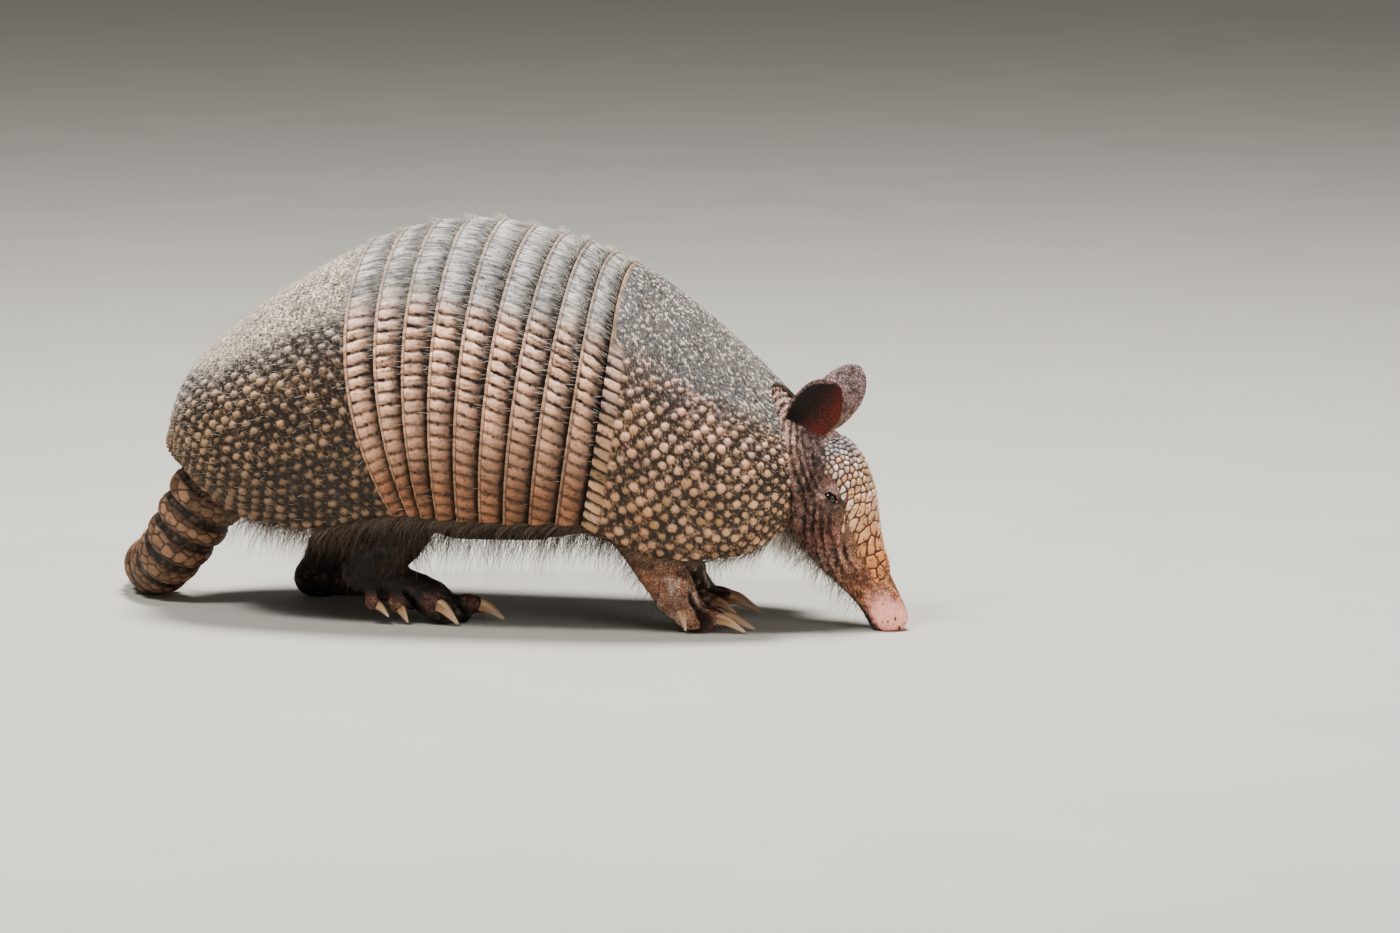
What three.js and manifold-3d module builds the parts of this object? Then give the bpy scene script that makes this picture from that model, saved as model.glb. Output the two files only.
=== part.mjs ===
// A nine-banded armadillo, walking with its nose to the ground, as a still, life-size model.
//
// Units are millimetres. +X runs from the tail to the head, +Y to the animal's left and +Z up, with
// the floor at z = 0. The trunk carries an armour of a shoulder shield, nine bands and a pelvic
// shield. The flesh is a set of tubes through a few stations each: neck, head, legs, feet, toes and
// tail. Where two pieces join, one is cut back by a slightly grown copy of the other, so that every
// piece stays a closed solid of its own.
import * as THREE from "three";
import { mergeVertices } from "three/addons/utils/BufferGeometryUtils.js";
import Module from "manifold-3d";

const wasm = await Module();
wasm.setup();

// ---- driving dimensions ----

const GAP = 0.35; // clearance between neighbouring pieces
const SHELL_GAP = 0.8; // clearance under the shields and bands
const THIGH_GAP = 0.8; // clearance round the legs inside the trunk
const BANDS = 9; // movable bands between the two shields
const ARMOUR = 3; // thickness of the shields and bands
const LIP = 1.4; // how far a band's rear edge stands over the band behind it
const RIB_SIDES = 16; // facets from one lower edge of the armour over the back to the other
const BELLY_SIDES = 6; // facets across the belly
const NECK_SIDES = 12;
const HEAD_SIDES = 16;
const LIMB_SIDES = 8;
const TAIL_SIDES = 12;
const TOE_SIDES = 5;
const CLAW_SIDES = 5;
const EYE_RADIUS = 3.9;
const TAIL_RINGS = 12; // armour rings on the near part of the tail
const TAIL_RINGED = 0.62; // share of the tail that the rings cover
const RINGED_LENGTHS = 3; // nodes that share the armour rings
const RING_STEP = 1; // how far a ring's rear edge stands over its front edge
const SLOT_REACH = [-0.01, 1.01]; // a slot for a tube reaches a little past both its ends
const SEAM = 0.002; // half the gap between two pieces of armour or tail, as a share of their parameter

// How many lengths each tube is divided into.
const NECK_LENGTHS = 5;
const HEAD_LENGTHS = 11;
const NOSE_LENGTHS = 4;
const TAIL_ROOT_LENGTHS = 6;
const TAPER_LENGTHS = 3;
const TIP_LENGTHS = 3;
const LEG_LENGTHS = 4;
const TOE_LENGTHS = 1;
const CLAW_LENGTHS = 3;
const TRUNK_LENGTHS = 12;
const SHOULDER_ROWS = 6;
const PELVIS_ROWS = 7;
const HEAD_SHIELD_GRID = [8, 6];
const EAR_GRID = [4, 5];
const EYE_DETAIL = 1; // times that each face of the eye's icosahedron is divided
const TRUNK_REACH = [0.03, 2.96]; // ribs between which the trunk lies
const TAIL_ROOT = 0.25; // share of the tail that the trunk is hollowed for

const RIGHT = -1; // sign of y on each side
const LEFT = 1;

// Stations of the carapace, evenly spaced from the neck margin (u = 0) over the shoulder shield (to 1)
// and the bands (to 2) to the tail notch (u = 3). back and edge are x and z of the midline and of the
// lower edge, half is the half-width, bow is how far the side swings forward of a straight rib, and
// wrap is the angle from the midline over the side to the lower edge, in degrees.
const CARAPACE = [
  { back: [144.6, 124], edge: [155, 51], half: 43, bow: 11.5, wrap: 124 },
  { back: [122.6, 146], edge: [135, 41], half: 56, bow: 10, wrap: 124 },
  { back: [98, 166], edge: [95, 40], half: 66, bow: 8, wrap: 124 },
  { back: [70.6, 183.3], edge: [57, 55], half: 72, bow: 6, wrap: 124 },
  { back: [34.2, 198], edge: [17, 56], half: 75, bow: 0, wrap: 124 },
  { back: [-15, 205], edge: [-17, 57.5], half: 77, bow: -2.5, wrap: 124 },
  { back: [-65, 193], edge: [-40, 58.5], half: 76, bow: -9, wrap: 124 },
  { back: [-119, 163], edge: [-84, 50], half: 70, bow: -12, wrap: 121 },
  { back: [-158, 130], edge: [-128, 56], half: 54, bow: -10, wrap: 112 },
  { back: [-174, 92], edge: [-164, 79], half: 26, bow: -2, wrap: 94 },
];
const BELLY_DROP = [2, 3, 5, 11, 15, 16, 14, 9, 6, 3]; // belly below the lower edge, at the same stations

// ---- curves ----

/** Value at t, from 0 to 1, of the uniform Catmull-Rom curve through a list of numbers. */
function along(values, t) {
  const last = values.length - 1;
  const i = Math.min(last - 1, Math.max(0, Math.floor(t * last)));
  const f = t * last - i;
  const at = (k) => {
    if (k < 0) return 2 * values[0] - values[1];
    if (k > last) return 2 * values[last] - values[last - 1];
    return values[k];
  };
  const [a, b, c, d] = [at(i - 1), at(i), at(i + 1), at(i + 2)];
  return b + 0.5 * f * (c - a + f * (2 * a - 5 * b + 4 * c - d + f * (3 * (b - c) + d - a)));
}

/** Steps from a to b, both included. */
const steps = (a, b, n) => Array.from({ length: n + 1 }, (_, i) => a + ((b - a) * i) / n);

// ---- solids ----

/** Turns a triangle list into a geometry whose faces point out. */
function solidGeometry(points, triangles) {
  let volume = 0;
  for (const [a, b, c] of triangles) {
    volume += points[a].dot(new THREE.Vector3().crossVectors(points[b], points[c]));
  }
  const faces = volume < 0 ? triangles.map(([a, b, c]) => [a, c, b]) : triangles;
  const geometry = new THREE.BufferGeometry();
  const position = new Float32Array(points.flatMap((p) => [p.x, p.y, p.z]));
  geometry.setAttribute("position", new THREE.BufferAttribute(position, 3));
  geometry.setIndex(faces.flat());
  return geometry;
}

/** A closed skin over rings of equally many points, with a fan on each end. */
function loft(rings) {
  const sides = rings[0].length;
  const points = rings.flat();
  const triangles = [];
  for (let r = 0; r + 1 < rings.length; r++) {
    for (let k = 0; k < sides; k++) {
      const [a, b] = [r * sides + k, r * sides + ((k + 1) % sides)];
      triangles.push([a, b, b + sides], [a, b + sides, a + sides]);
    }
  }
  for (const [ring, flip] of [[0, true], [rings.length - 1, false]]) {
    const centre = new THREE.Vector3();
    rings[ring].forEach((p) => centre.addScaledVector(p, 1 / sides));
    points.push(centre);
    for (let k = 0; k < sides; k++) {
      const edge = [ring * sides + k, ring * sides + ((k + 1) % sides)];
      if (flip) edge.reverse();
      triangles.push([...edge, points.length - 1]);
    }
  }
  return solidGeometry(points, triangles);
}

/** A closed plate with surface(u, v, 1) outside, surface(u, v, 0) inside and a wall round its edge. */
function plate(surface, us, vs) {
  const [rows, columns] = [us.length, vs.length];
  const points = [];
  for (const side of [1, 0]) us.forEach((u) => vs.forEach((v) => points.push(surface(u, v, side))));
  const id = (side, r, c) => (1 - side) * rows * columns + r * columns + c;
  const triangles = [];
  const quad = (a, b, c, d) => triangles.push([a, b, c], [a, c, d]);
  for (let r = 0; r + 1 < rows; r++) {
    for (let c = 0; c + 1 < columns; c++) {
      quad(id(1, r, c), id(1, r, c + 1), id(1, r + 1, c + 1), id(1, r + 1, c));
      quad(id(0, r, c), id(0, r + 1, c), id(0, r + 1, c + 1), id(0, r, c + 1));
    }
  }
  for (let r = 0; r + 1 < rows; r++) {
    const end = columns - 1;
    quad(id(1, r, 0), id(1, r + 1, 0), id(0, r + 1, 0), id(0, r, 0));
    quad(id(1, r + 1, end), id(1, r, end), id(0, r, end), id(0, r + 1, end));
  }
  for (let c = 0; c + 1 < columns; c++) {
    const end = rows - 1;
    quad(id(1, 0, c + 1), id(1, 0, c), id(0, 0, c), id(0, 0, c + 1));
    quad(id(1, end, c), id(1, end, c + 1), id(0, end, c + 1), id(0, end, c));
  }
  return solidGeometry(points, triangles);
}

/** The solid of a closed geometry, ready to be cut and joined. */
function toSolid(geometry) {
  const bare = geometry.clone();
  bare.deleteAttribute("normal");
  bare.deleteAttribute("uv");
  const merged = mergeVertices(bare, 1e-3);
  return new wasm.Manifold(
    new wasm.Mesh({
      numProp: 3,
      vertProperties: new Float32Array(merged.attributes.position.array),
      triVerts: new Uint32Array(merged.index.array),
    }),
  );
}

/** The geometry of such a solid. */
function toGeometry(solid) {
  const mesh = solid.getMesh();
  const geometry = new THREE.BufferGeometry();
  geometry.setAttribute("position", new THREE.BufferAttribute(mesh.vertProperties, mesh.numProp));
  geometry.setIndex(new THREE.BufferAttribute(mesh.triVerts, 1));
  return geometry;
}

/** The first geometry without the others. */
const cut = (geometry, ...tools) =>
  toGeometry(tools.reduce((solid, tool) => solid.subtract(toSolid(tool)), toSolid(geometry)));

/** All the geometries as one. */
const join = (...pieces) => toGeometry(pieces.map(toSolid).reduce((a, b) => a.add(b)));

/** A block that fills everything below a height. */
function below(z) {
  const size = 1000;
  return new THREE.BoxGeometry(size, size, size).translate(0, 0, z - size / 2);
}

/** A tube through stations [x, y, z, half-width, half-depth], its width held level; grow thickens it. */
class Tube {
  constructor(stations, sides = LIMB_SIDES) {
    this.columns = [0, 1, 2, 3, 4].map((k) => stations.map((s) => s[k]));
    this.sides = sides;
  }

  centre(t) {
    return new THREE.Vector3(...this.columns.slice(0, 3).map((c) => along(c, t)));
  }

  point(t, angle, grow = 0) {
    const reach = 0.01;
    const [back, ahead] = [Math.min(t, 1) - reach, Math.max(t, 0) + reach];
    const tangent = this.centre(Math.min(1, ahead)).sub(this.centre(Math.max(0, back))).normalize();
    const across = new THREE.Vector3(0, 1, 0).addScaledVector(tangent, -tangent.y).normalize();
    const deep = new THREE.Vector3().crossVectors(across, tangent);
    const [wide, thick] = [3, 4].map((k) => along(this.columns[k], t) + grow);
    return this.centre(t)
      .addScaledVector(across, wide * Math.cos(angle))
      .addScaledVector(deep, thick * Math.sin(angle));
  }

  ring(t, grow) {
    return steps(0, 2 * Math.PI, this.sides).slice(0, -1).map((angle) => this.point(t, angle, grow));
  }

  solid(rings, grow = 0, from = 0, to = 1) {
    return loft(steps(from, to, rings).map((t) => this.ring(t, grow)));
  }
}

// ---- armour of the trunk ----

const station = (read, u) => along(CARAPACE.map(read), u / 3);

/** Point of the carapace at rib u and angle share v: -1 right edge, 0 midline, 1 left edge. */
function carapace(u, v) {
  const wrap = THREE.MathUtils.degToRad(station((s) => s.wrap, u));
  const angle = wrap * v;
  const down = (1 - Math.cos(angle)) / (1 - Math.cos(wrap));
  const back = (k) => station((s) => s.back[k], u);
  const edge = (k) => station((s) => s.edge[k], u);
  const mix = (k) => back(k) * (1 - down) + edge(k) * down;
  const bow = station((s) => s.bow, u) * 4 * down * (1 - down);
  return new THREE.Vector3(mix(0) + bow, station((s) => s.half, u) * Math.sin(angle), mix(1));
}

/** The same point moved out along the surface normal. */
function carapaceOffset(u, v, out) {
  const h = 1e-3;
  const du = carapace(u - h, v).sub(carapace(u + h, v));
  const dv = carapace(u, v + h).sub(carapace(u, v - h));
  return carapace(u, v).addScaledVector(du.cross(dv).normalize(), out);
}

/** A piece of armour between two ribs; its outside rises from lift 0 in front to the given lift behind. */
function armourPiece(u0, u1, rows, lift) {
  const surface = (u, v, side) => carapaceOffset(u, v, side ? (lift * (u - u0)) / (u1 - u0) : -ARMOUR);
  return plate(surface, steps(u0, u1, rows), steps(-1, 1, RIB_SIDES));
}

/** The trunk inside the armour, closed below by the belly. */
function trunkSolid() {
  const inset = -ARMOUR - SHELL_GAP;
  const rings = steps(...TRUNK_REACH, TRUNK_LENGTHS).map((u) => {
    const rib = steps(-1, 1, RIB_SIDES).map((v) => carapaceOffset(u, v, inset));
    const [right, left] = [rib[0], rib[RIB_SIDES]];
    const drop = along(BELLY_DROP, u / 3);
    const belly = steps(0, Math.PI, BELLY_SIDES).slice(1, -1).map((a) =>
      new THREE.Vector3(left.x, left.y * Math.cos(a), left.z - drop * Math.sin(a)));
    right.x = left.x;
    return [...rib, ...belly];
  });
  return loft(rings);
}

// ---- flesh ----

const neck = new Tube([
  [126, 0, 88, 36, 27],
  [143, 0, 82, 37, 30],
  [156, 0, 75.5, 32, 31],
  [168, -1, 67, 24.5, 28],
], NECK_SIDES);

const head = new Tube([
  [160, 0, 93, 17, 18],
  [167, -0.5, 78.5, 22.5, 25],
  [174.5, -1.5, 60.5, 22.5, 24.5],
  [182, -3, 45.5, 18.5, 20],
  [190, -4.5, 32.5, 14.3, 15],
  [199.2, -6, 19.2, 11.4, 11.3],
  [205.2, -7.5, 9, 10.2, 10.6],
  [208.3, -8, 2.6, 8.6, 9.8],
  [209.6, -8.2, -0.8, 5.2, 5.8],
], HEAD_SIDES);
const NOSE_FROM = 0.7; // where along the head the bare nose begins
const SHIELD = 1.8; // thickness of the head shield
// Where along the head the shield lies.
const SHIELD_REACH = [1, 9].map((k) => (NOSE_FROM * k) / HEAD_LENGTHS);
const SHIELD_SPAN = [30, 150]; // angles round the head between which it lies, in degrees
const EYE_AT = { t: 0.217, angle: -0.31, depth: 2.6 }; // seat of the eyes on the head

const tail = new Tube([
  [-134, 0, 90, 19, 19],
  [-149.5, 0, 69.5, 20.6, 20.6],
  [-162.5, 1, 49.8, 19.6, 19.6],
  [-174.5, 4, 32.3, 17.8, 17.8],
  [-186, 14, 19.6, 16.4, 16.4],
  [-196.5, 31, 14.9, 15.1, 15.1],
  [-203.5, 52, 12.9, 13.1, 13.1],
  [-208, 75, 11, 11.2, 11.2],
  [-211, 99, 9.2, 9.4, 9.4],
  [-212.5, 122, 7.3, 7.5, 7.5],
  [-213, 143, 5.5, 5.7, 5.7],
  [-212, 163, 3.8, 4, 4],
  [-209.5, 180, 2.2, 2.4, 2.4],
], TAIL_SIDES);

// The ear is a cupped leaf: its midline runs from the root to the tip, and half is its half-breadth
// there.
const EAR_MIDLINE = [[160, 14, 101.5], [167, 19, 109], [174, 22, 116.5], [180, 24, 123], [185, 25.5, 128]];
const EAR_HALF = [9, 12.6, 13.4, 11.8, 6];
const EAR_PERK = 3.5; // how much higher the left ear's tip stands
const EAR_THICK = 2.4;
const EAR_CUP = 5;

/** The plate over the forehead, between two heights over the skin of the head. */
function headShield(inside, outside) {
  const surface = (t, degrees, face) =>
    head.point(t, -THREE.MathUtils.degToRad(degrees), face ? outside : inside);
  const [rows, columns] = HEAD_SHIELD_GRID;
  return plate(surface, steps(...SHIELD_REACH, rows), steps(...SHIELD_SPAN, columns));
}

/** Centre of an eyeball, sunk into the side of the head. */
function eyeCentre(side) {
  const angle = side > 0 ? EYE_AT.angle : Math.PI - EYE_AT.angle;
  return head.point(EYE_AT.t, angle, -EYE_AT.depth);
}

/** A closed ear, grown all round by the given amount. */
function earLeaf(side, grow = 0) {
  const perk = side > 0 ? EAR_PERK : 0;
  const middle = (t) => {
    const [x, y, z] = [0, 1, 2].map((k) => along(EAR_MIDLINE.map((p) => p[k]), t));
    return new THREE.Vector3(x, y, z + perk * t * t);
  };
  const axis = middle(1).sub(middle(0)).normalize();
  const across = new THREE.Vector3(-axis.z, 0, axis.x).normalize();
  const out = new THREE.Vector3().crossVectors(axis, across).multiplyScalar(-1);
  const surface = (t, v, face) => {
    const cup = EAR_CUP * (1 - v * v) * Math.sin(Math.PI * Math.min(1, 0.15 + t * 0.85));
    const depth = (face ? EAR_THICK / 2 + grow : -EAR_THICK / 2 - grow) - cup;
    const point = middle(t)
      .addScaledVector(across, v * (along(EAR_HALF, t) + grow))
      .addScaledVector(out, depth)
      .addScaledVector(axis, (t * 2 - 1) * grow);
    point.y *= side;
    return point;
  };
  return plate(surface, steps(0, 1, EAR_GRID[0]), steps(-1, 1, EAR_GRID[1]));
}

/** A toe and the claw that stands in its end; both are given by the points that they run through. */
function digit(root, knuckle, tip, thick, claw) {
  const [a, b, c] = [root, knuckle, tip].map((p) => new THREE.Vector3(...p));
  const toe = new Tube([
    [...a, thick, thick],
    [...a.clone().lerp(b, 0.6), thick, thick * 0.95],
    [...b, thick * 0.85, thick * 0.85],
  ], TOE_SIDES);
  const arch = b.clone().lerp(c, 0.5).add(new THREE.Vector3(0, 0, claw * 0.45));
  const heel = b.clone().lerp(arch, -0.25);
  const nail = new Tube([
    [...heel, claw * 0.85, claw * 0.8],
    [...b.clone().lerp(arch, 0.4), claw, claw * 0.95],
    [...arch, claw * 0.8, claw * 0.78],
    [...c, claw * 0.16, claw * 0.18],
  ], CLAW_SIDES);
  return { toe, nail };
}

/** A foreleg. wrist is the x of the wrist joint, and everything in front of it moves along. */
function foreLimb(side, wrist) {
  const at = (x, y, z) => [wrist + x, side * y, z];
  return {
    upper: new Tube([
      [...at(-14, 34, 84), 14, 18],
      [...at(-15, 37, 56), 14.5, 17],
      [...at(-8, 36, 36), 12, 13],
      [...at(1, 34, 20), 10, 11],
    ]),
    palm: new Tube([
      [...at(0, 34, 22), 9.8, 10.2],
      [...at(5, 33.5, 13.5), 11, 9.5],
      [...at(12, 33, 7.2), 12.3, 7.9],
      [...at(18, 32.5, 5), 10.3, 5.6],
    ]),
    digits: [
      digit(at(10, 25, 8), at(17, 22.5, 7), at(31, 20, 1), 4.4, 2.7),
      digit(at(12, 30, 7.5), at(21, 29.5, 8), at(42, 28.5, 1), 5, 3.3),
      digit(at(12, 36, 7.5), at(20, 37, 8), at(39, 38.5, 1), 4.9, 3.2),
      digit(at(2, 39, 16.5), at(5, 43, 15.3), at(9.5, 45.5, 1.8), 4.3, 2.8),
    ],
  };
}

/** A hind leg from its joints: hip, knee and ankle as [x, y, z], and the x of the ball of the foot. */
function hindLimb(side, hip, knee, ankle, ball) {
  const out = ([x, y, z]) => [x, side * y, z];
  const at = (x, y, z) => [ball + x, side * y, z];
  const mix = (a, b, f) => a.map((k, i) => k * (1 - f) + b[i] * f);
  const instep = 9.3 + 0.15 * ankle[2];
  return {
    upper: new Tube([
      [...out(hip), 15, 25],
      [...out(mix(hip, knee, 0.5)), 16.5, 24],
      [...out(knee), 14, 17],
      [...out(mix(knee, ankle, 0.55)), 12.5, 15],
      [...out(ankle), 9.5, 10.5],
    ]),
    palm: new Tube([
      [...out([ankle[0] - 4, ankle[1], ankle[2]]), 8.5, 9.8],
      [...out(mix(ankle, [ball - 9, 35, instep], 0.5)), 10.5, 9.8],
      [...at(-9, 35, instep), 12.5, 9.8],
      [...at(-1, 32, 7), 11.5, 8.2],
      [...at(6, 29.5, 5.2), 8.5, 6.4],
    ]),
    digits: [
      digit(at(-2, 25, 8), at(6, 21.5, 7), at(17, 19, 1), 4.4, 2.8),
      digit(at(3, 29, 9), at(11, 27, 9.5), at(28, 24.5, 1.2), 5.2, 3.8),
      digit(at(-14, 37, 11), at(-6, 42.5, 12), at(9, 46, 1.4), 5.2, 3.7),
      digit(at(-23, 41.5, instep), at(-24.5, 44.5, 10), at(-17.5, 46.5, 1.4), 4.6, 2.9),
      digit([ankle[0] + 4, side * 43, ankle[2] - 2], at(-36, 47, 11), at(-27, 49, 4.5), 4, 2.5),
    ],
  };
}

// ---- the animal ----

const MATERIALS = {
  armour: { color: 0x6f5f54, roughness: 0.62 },
  band: { color: 0x9a7a66, roughness: 0.6 },
  head_plates: { color: 0xb08a6c, roughness: 0.6 },
  skin: { color: 0x5a3d30, roughness: 0.7 },
  nose: { color: 0xc07f72, roughness: 0.45 },
  claw: { color: 0xc9a578, roughness: 0.42 },
  eye: { color: 0x120c0a, roughness: 0.12 },
  tail_rings: { color: 0x8a684e, roughness: 0.65 },
};

const animal = new THREE.Group();

function add(name, geometry, finish) {
  const material = new THREE.MeshStandardMaterial({ ...MATERIALS[finish], metalness: 0 });
  const mesh = new THREE.Mesh(geometry, material);
  mesh.name = name;
  animal.add(mesh);
}

add("shell_shoulder", armourPiece(0, 1 - SEAM, SHOULDER_ROWS, LIP), "armour");
for (let i = 0; i < BANDS; i++) {
  const [front, rear] = [1 + i / BANDS + SEAM, 1 + (i + 1) / BANDS - SEAM];
  add(`shell_band_${i + 1}`, armourPiece(front, rear, 1, LIP), "band");
}
add("shell_pelvis", armourPiece(2 + SEAM, 3, PELVIS_ROWS, 0), "armour");

const limbs = {
  foreleg_right: foreLimb(RIGHT, 99),
  foreleg_left: foreLimb(LEFT, 90),
  hindleg_right: hindLimb(RIGHT, [-68, 36, 84], [-45, 39, 49], [-62, 37, 26], -20),
  hindleg_left: hindLimb(LEFT, [-88, 36, 84], [-84, 38, 52], [-108, 36, 10], -66),
};
const thighs = Object.values(limbs).map((limb) => limb.upper.solid(LEG_LENGTHS, THIGH_GAP, ...SLOT_REACH));
const floor = below(0);

const skull = (grow = 0) => head.solid(HEAD_LENGTHS, grow, 0, NOSE_FROM);
const noseTube = head.solid(NOSE_LENGTHS, 0, NOSE_FROM + 2 * SEAM, 1);
const earSlots = [RIGHT, LEFT].map((side) => earLeaf(side, GAP));
const sockets = [RIGHT, LEFT].map((side) =>
  new THREE.IcosahedronGeometry(EYE_RADIUS + GAP, EYE_DETAIL).translate(...eyeCentre(side)));
const neckRoot = neck.solid(NECK_LENGTHS, GAP, ...SLOT_REACH);
const tailRoot = tail.solid(TAIL_ROOT_LENGTHS, GAP, SLOT_REACH[0], TAIL_ROOT);
add("trunk", cut(trunkSolid(), ...thighs, neckRoot, tailRoot), "skin");
const headRoom = [skull(GAP), headShield(0, SHIELD + GAP), ...earSlots];
add("neck", cut(neck.solid(NECK_LENGTHS), ...headRoom), "skin");
add("head", cut(skull(), ...sockets, ...earSlots, floor), "skin");
add("nose", cut(noseTube, floor), "nose");
add("head_shield", headShield(SHELL_GAP, SHIELD), "head_plates");

for (const [name, side] of [["right", RIGHT], ["left", LEFT]]) {
  const eye = new THREE.IcosahedronGeometry(EYE_RADIUS, EYE_DETAIL).translate(...eyeCentre(side));
  add(`eye_${name}`, eye, "eye");
  add(`ear_${name}`, earLeaf(side), "skin");
}

for (const [name, { upper, palm, digits }] of Object.entries(limbs)) {
  const foot = join(palm.solid(LEG_LENGTHS), ...digits.map((d) => d.toe.solid(TOE_LENGTHS)));
  const clawSlots = digits.map((d) => d.nail.solid(CLAW_LENGTHS, GAP));
  const ankle = upper.solid(LEG_LENGTHS, GAP, ...SLOT_REACH);
  add(name.replace("leg", "foot"), cut(foot, ...clawSlots, ankle, floor), "skin");
  add(name, cut(upper.solid(LEG_LENGTHS), floor), "skin");
  digits.forEach((d, i) => {
    add(`${name.replace("leg", "claw")}_${i + 1}`, cut(d.nail.solid(CLAW_LENGTHS), floor), "claw");
  });
}

/** Tail lengths: the near ones step outwards once a ring, the far ones are smooth. */
function tailLength(from, to, rings, ringed) {
  const cuts = steps(from, to, rings);
  const sections = cuts.slice(0, -1).flatMap((t, i) => {
    const next = cuts[i + 1] - SEAM / 2;
    return ringed ? [tail.ring(t, -RING_STEP), tail.ring(next, 0)] : [tail.ring(t, 0)];
  });
  if (!ringed) sections.push(tail.ring(to, 0));
  return loft(sections);
}

for (let i = 0; i < RINGED_LENGTHS; i++) {
  const [from, to] = [i, i + 1].map((k) => (TAIL_RINGED * k) / RINGED_LENGTHS);
  const rings = tailLength(from, to - SEAM, TAIL_RINGS / RINGED_LENGTHS, true);
  add(`tail_rings_${i + 1}`, cut(rings, floor), "tail_rings");
}
const middle = (1 + TAIL_RINGED) / 2;
const taper = tailLength(TAIL_RINGED, middle - SEAM, TAPER_LENGTHS, false);
const tip = tailLength(middle, 1, TIP_LENGTHS, false);
add("tail_taper", cut(taper, floor), "tail_rings");
add("tail_tip", cut(tip, floor), "tail_rings");

// The part's origin is the middle of its box, on the floor.
const root = new THREE.Group();
root.add(animal);
const box = new THREE.Box3().setFromObject(animal);
animal.position.set(-(box.min.x + box.max.x) / 2, -(box.min.y + box.max.y) / 2, -box.min.z);

export default root;
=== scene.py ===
"""A life-size nine-banded armadillo, walking with its nose at the ground.

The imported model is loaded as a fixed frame. Every piece is worked out in the animal's own millimetres,
with the median plane at y = 0 and the floor at z = 0, and is moved into the frame's metres when its mesh
is made.
"""

from __future__ import annotations

import logging
import sys
from dataclasses import dataclass, field
from enum import Enum
from functools import partial
from typing import Sequence

import bpy
import numpy as np
from mathutils import Matrix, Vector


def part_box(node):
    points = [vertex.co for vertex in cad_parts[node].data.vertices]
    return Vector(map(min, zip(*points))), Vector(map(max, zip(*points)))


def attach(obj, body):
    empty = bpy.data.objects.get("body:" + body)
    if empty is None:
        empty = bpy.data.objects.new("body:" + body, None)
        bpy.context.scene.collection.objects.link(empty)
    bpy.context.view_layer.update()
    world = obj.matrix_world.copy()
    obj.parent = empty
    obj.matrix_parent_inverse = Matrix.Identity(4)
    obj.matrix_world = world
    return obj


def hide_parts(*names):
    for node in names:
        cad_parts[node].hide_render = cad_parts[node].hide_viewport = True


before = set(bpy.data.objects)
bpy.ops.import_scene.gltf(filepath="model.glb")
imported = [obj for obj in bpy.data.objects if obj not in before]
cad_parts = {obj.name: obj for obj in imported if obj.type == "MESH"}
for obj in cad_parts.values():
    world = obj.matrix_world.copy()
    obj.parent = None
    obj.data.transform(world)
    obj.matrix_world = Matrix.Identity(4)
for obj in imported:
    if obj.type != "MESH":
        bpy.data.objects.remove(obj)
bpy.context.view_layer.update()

LOG = logging.getLogger("armadillo")
# A step in rib or angle share for taking differences, and a hair's size in the unwrap.
SMALL = 1e-3
PATCH_SIZE = 0.003
Array = np.ndarray
Tint = np.ndarray | str
Socket = bpy.types.NodeSocket


class Side(Enum):
    """The side of the animal, as the sign of its y."""

    RIGHT = -1
    LEFT = 1


# ---------------------------------------------------------------- numbers and noise


def ramp(x: Array, low: float, high: float) -> Array:
    """Smooth step from 0 at low to 1 at high."""
    t = np.clip((np.asarray(x, float) - low) / (high - low), 0.0, 1.0)
    return t * t * (3.0 - 2.0 * t)


def tinted(colour: Tint) -> Array:
    """A colour as linear RGB, whether it is given so or as #rrggbb."""
    return linear(colour) if isinstance(colour, str) else np.asarray(colour)


def blend(a: Tint, b: Tint, weight: Array) -> Array:
    """Mix of two colours or fields of colours by a weight with one number per point."""
    return tinted(a) + (tinted(b) - tinted(a)) * np.asarray(weight)[..., None]


def layered(base: Tint, *coats: tuple[Tint, Array]) -> Array:
    """Lays coats of colour over a base, one after the other.

    Args:
        base: what lies lowest.
        coats: each coat's colour and how much it covers.

    Returns:
        The mixed colours.
    """
    for colour, weight in coats:
        base = blend(base, colour, weight)
    return tinted(base)


def unit(vectors: Array) -> Array:
    """Vectors of the same directions and of length 1."""
    return vectors / np.linalg.norm(vectors, axis=-1, keepdims=True)


def circle(count: int) -> Array:
    """Angles of even steps round a circle."""
    return np.arange(count) * 2 * np.pi / count


def soft_least(a: Array, b: Array, soft: float) -> Array:
    """The smaller of two distances, rounded off where they are near each other.

    Args:
        a: a distance.
        b: another.
        soft: over how much they are rounded off.

    Returns:
        The rounded distance.
    """
    share = np.clip(0.5 + 0.5 * (a - b) / soft, 0, 1)
    return a + (b - a) * share - soft * share * (1 - share)


def curve(values: Sequence[Sequence[float]], t: Array) -> Array:
    """Uniform Catmull-Rom curve through rows of values.

    Args:
        values: one row of numbers per station.
        t: places along the curve, from 0 to 1, of any shape.

    Returns:
        One row of numbers for each t.
    """
    rows = np.asarray(values, float)
    last = len(rows) - 1
    x = np.clip(t, 0.0, 1.0) * last
    i = np.clip(np.floor(x).astype(int), 0, last - 1)
    f = (x - i)[..., None]
    rows = np.concatenate([[2 * rows[0] - rows[1]], rows, [2 * rows[-1] - rows[-2]]])
    a, b, c, d = rows[i], rows[i + 1], rows[i + 2], rows[i + 3]
    return b + 0.5 * f * (c - a + f * (2 * a - 5 * b + 4 * c - d + f * (3 * (b - c) + d - a)))


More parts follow.
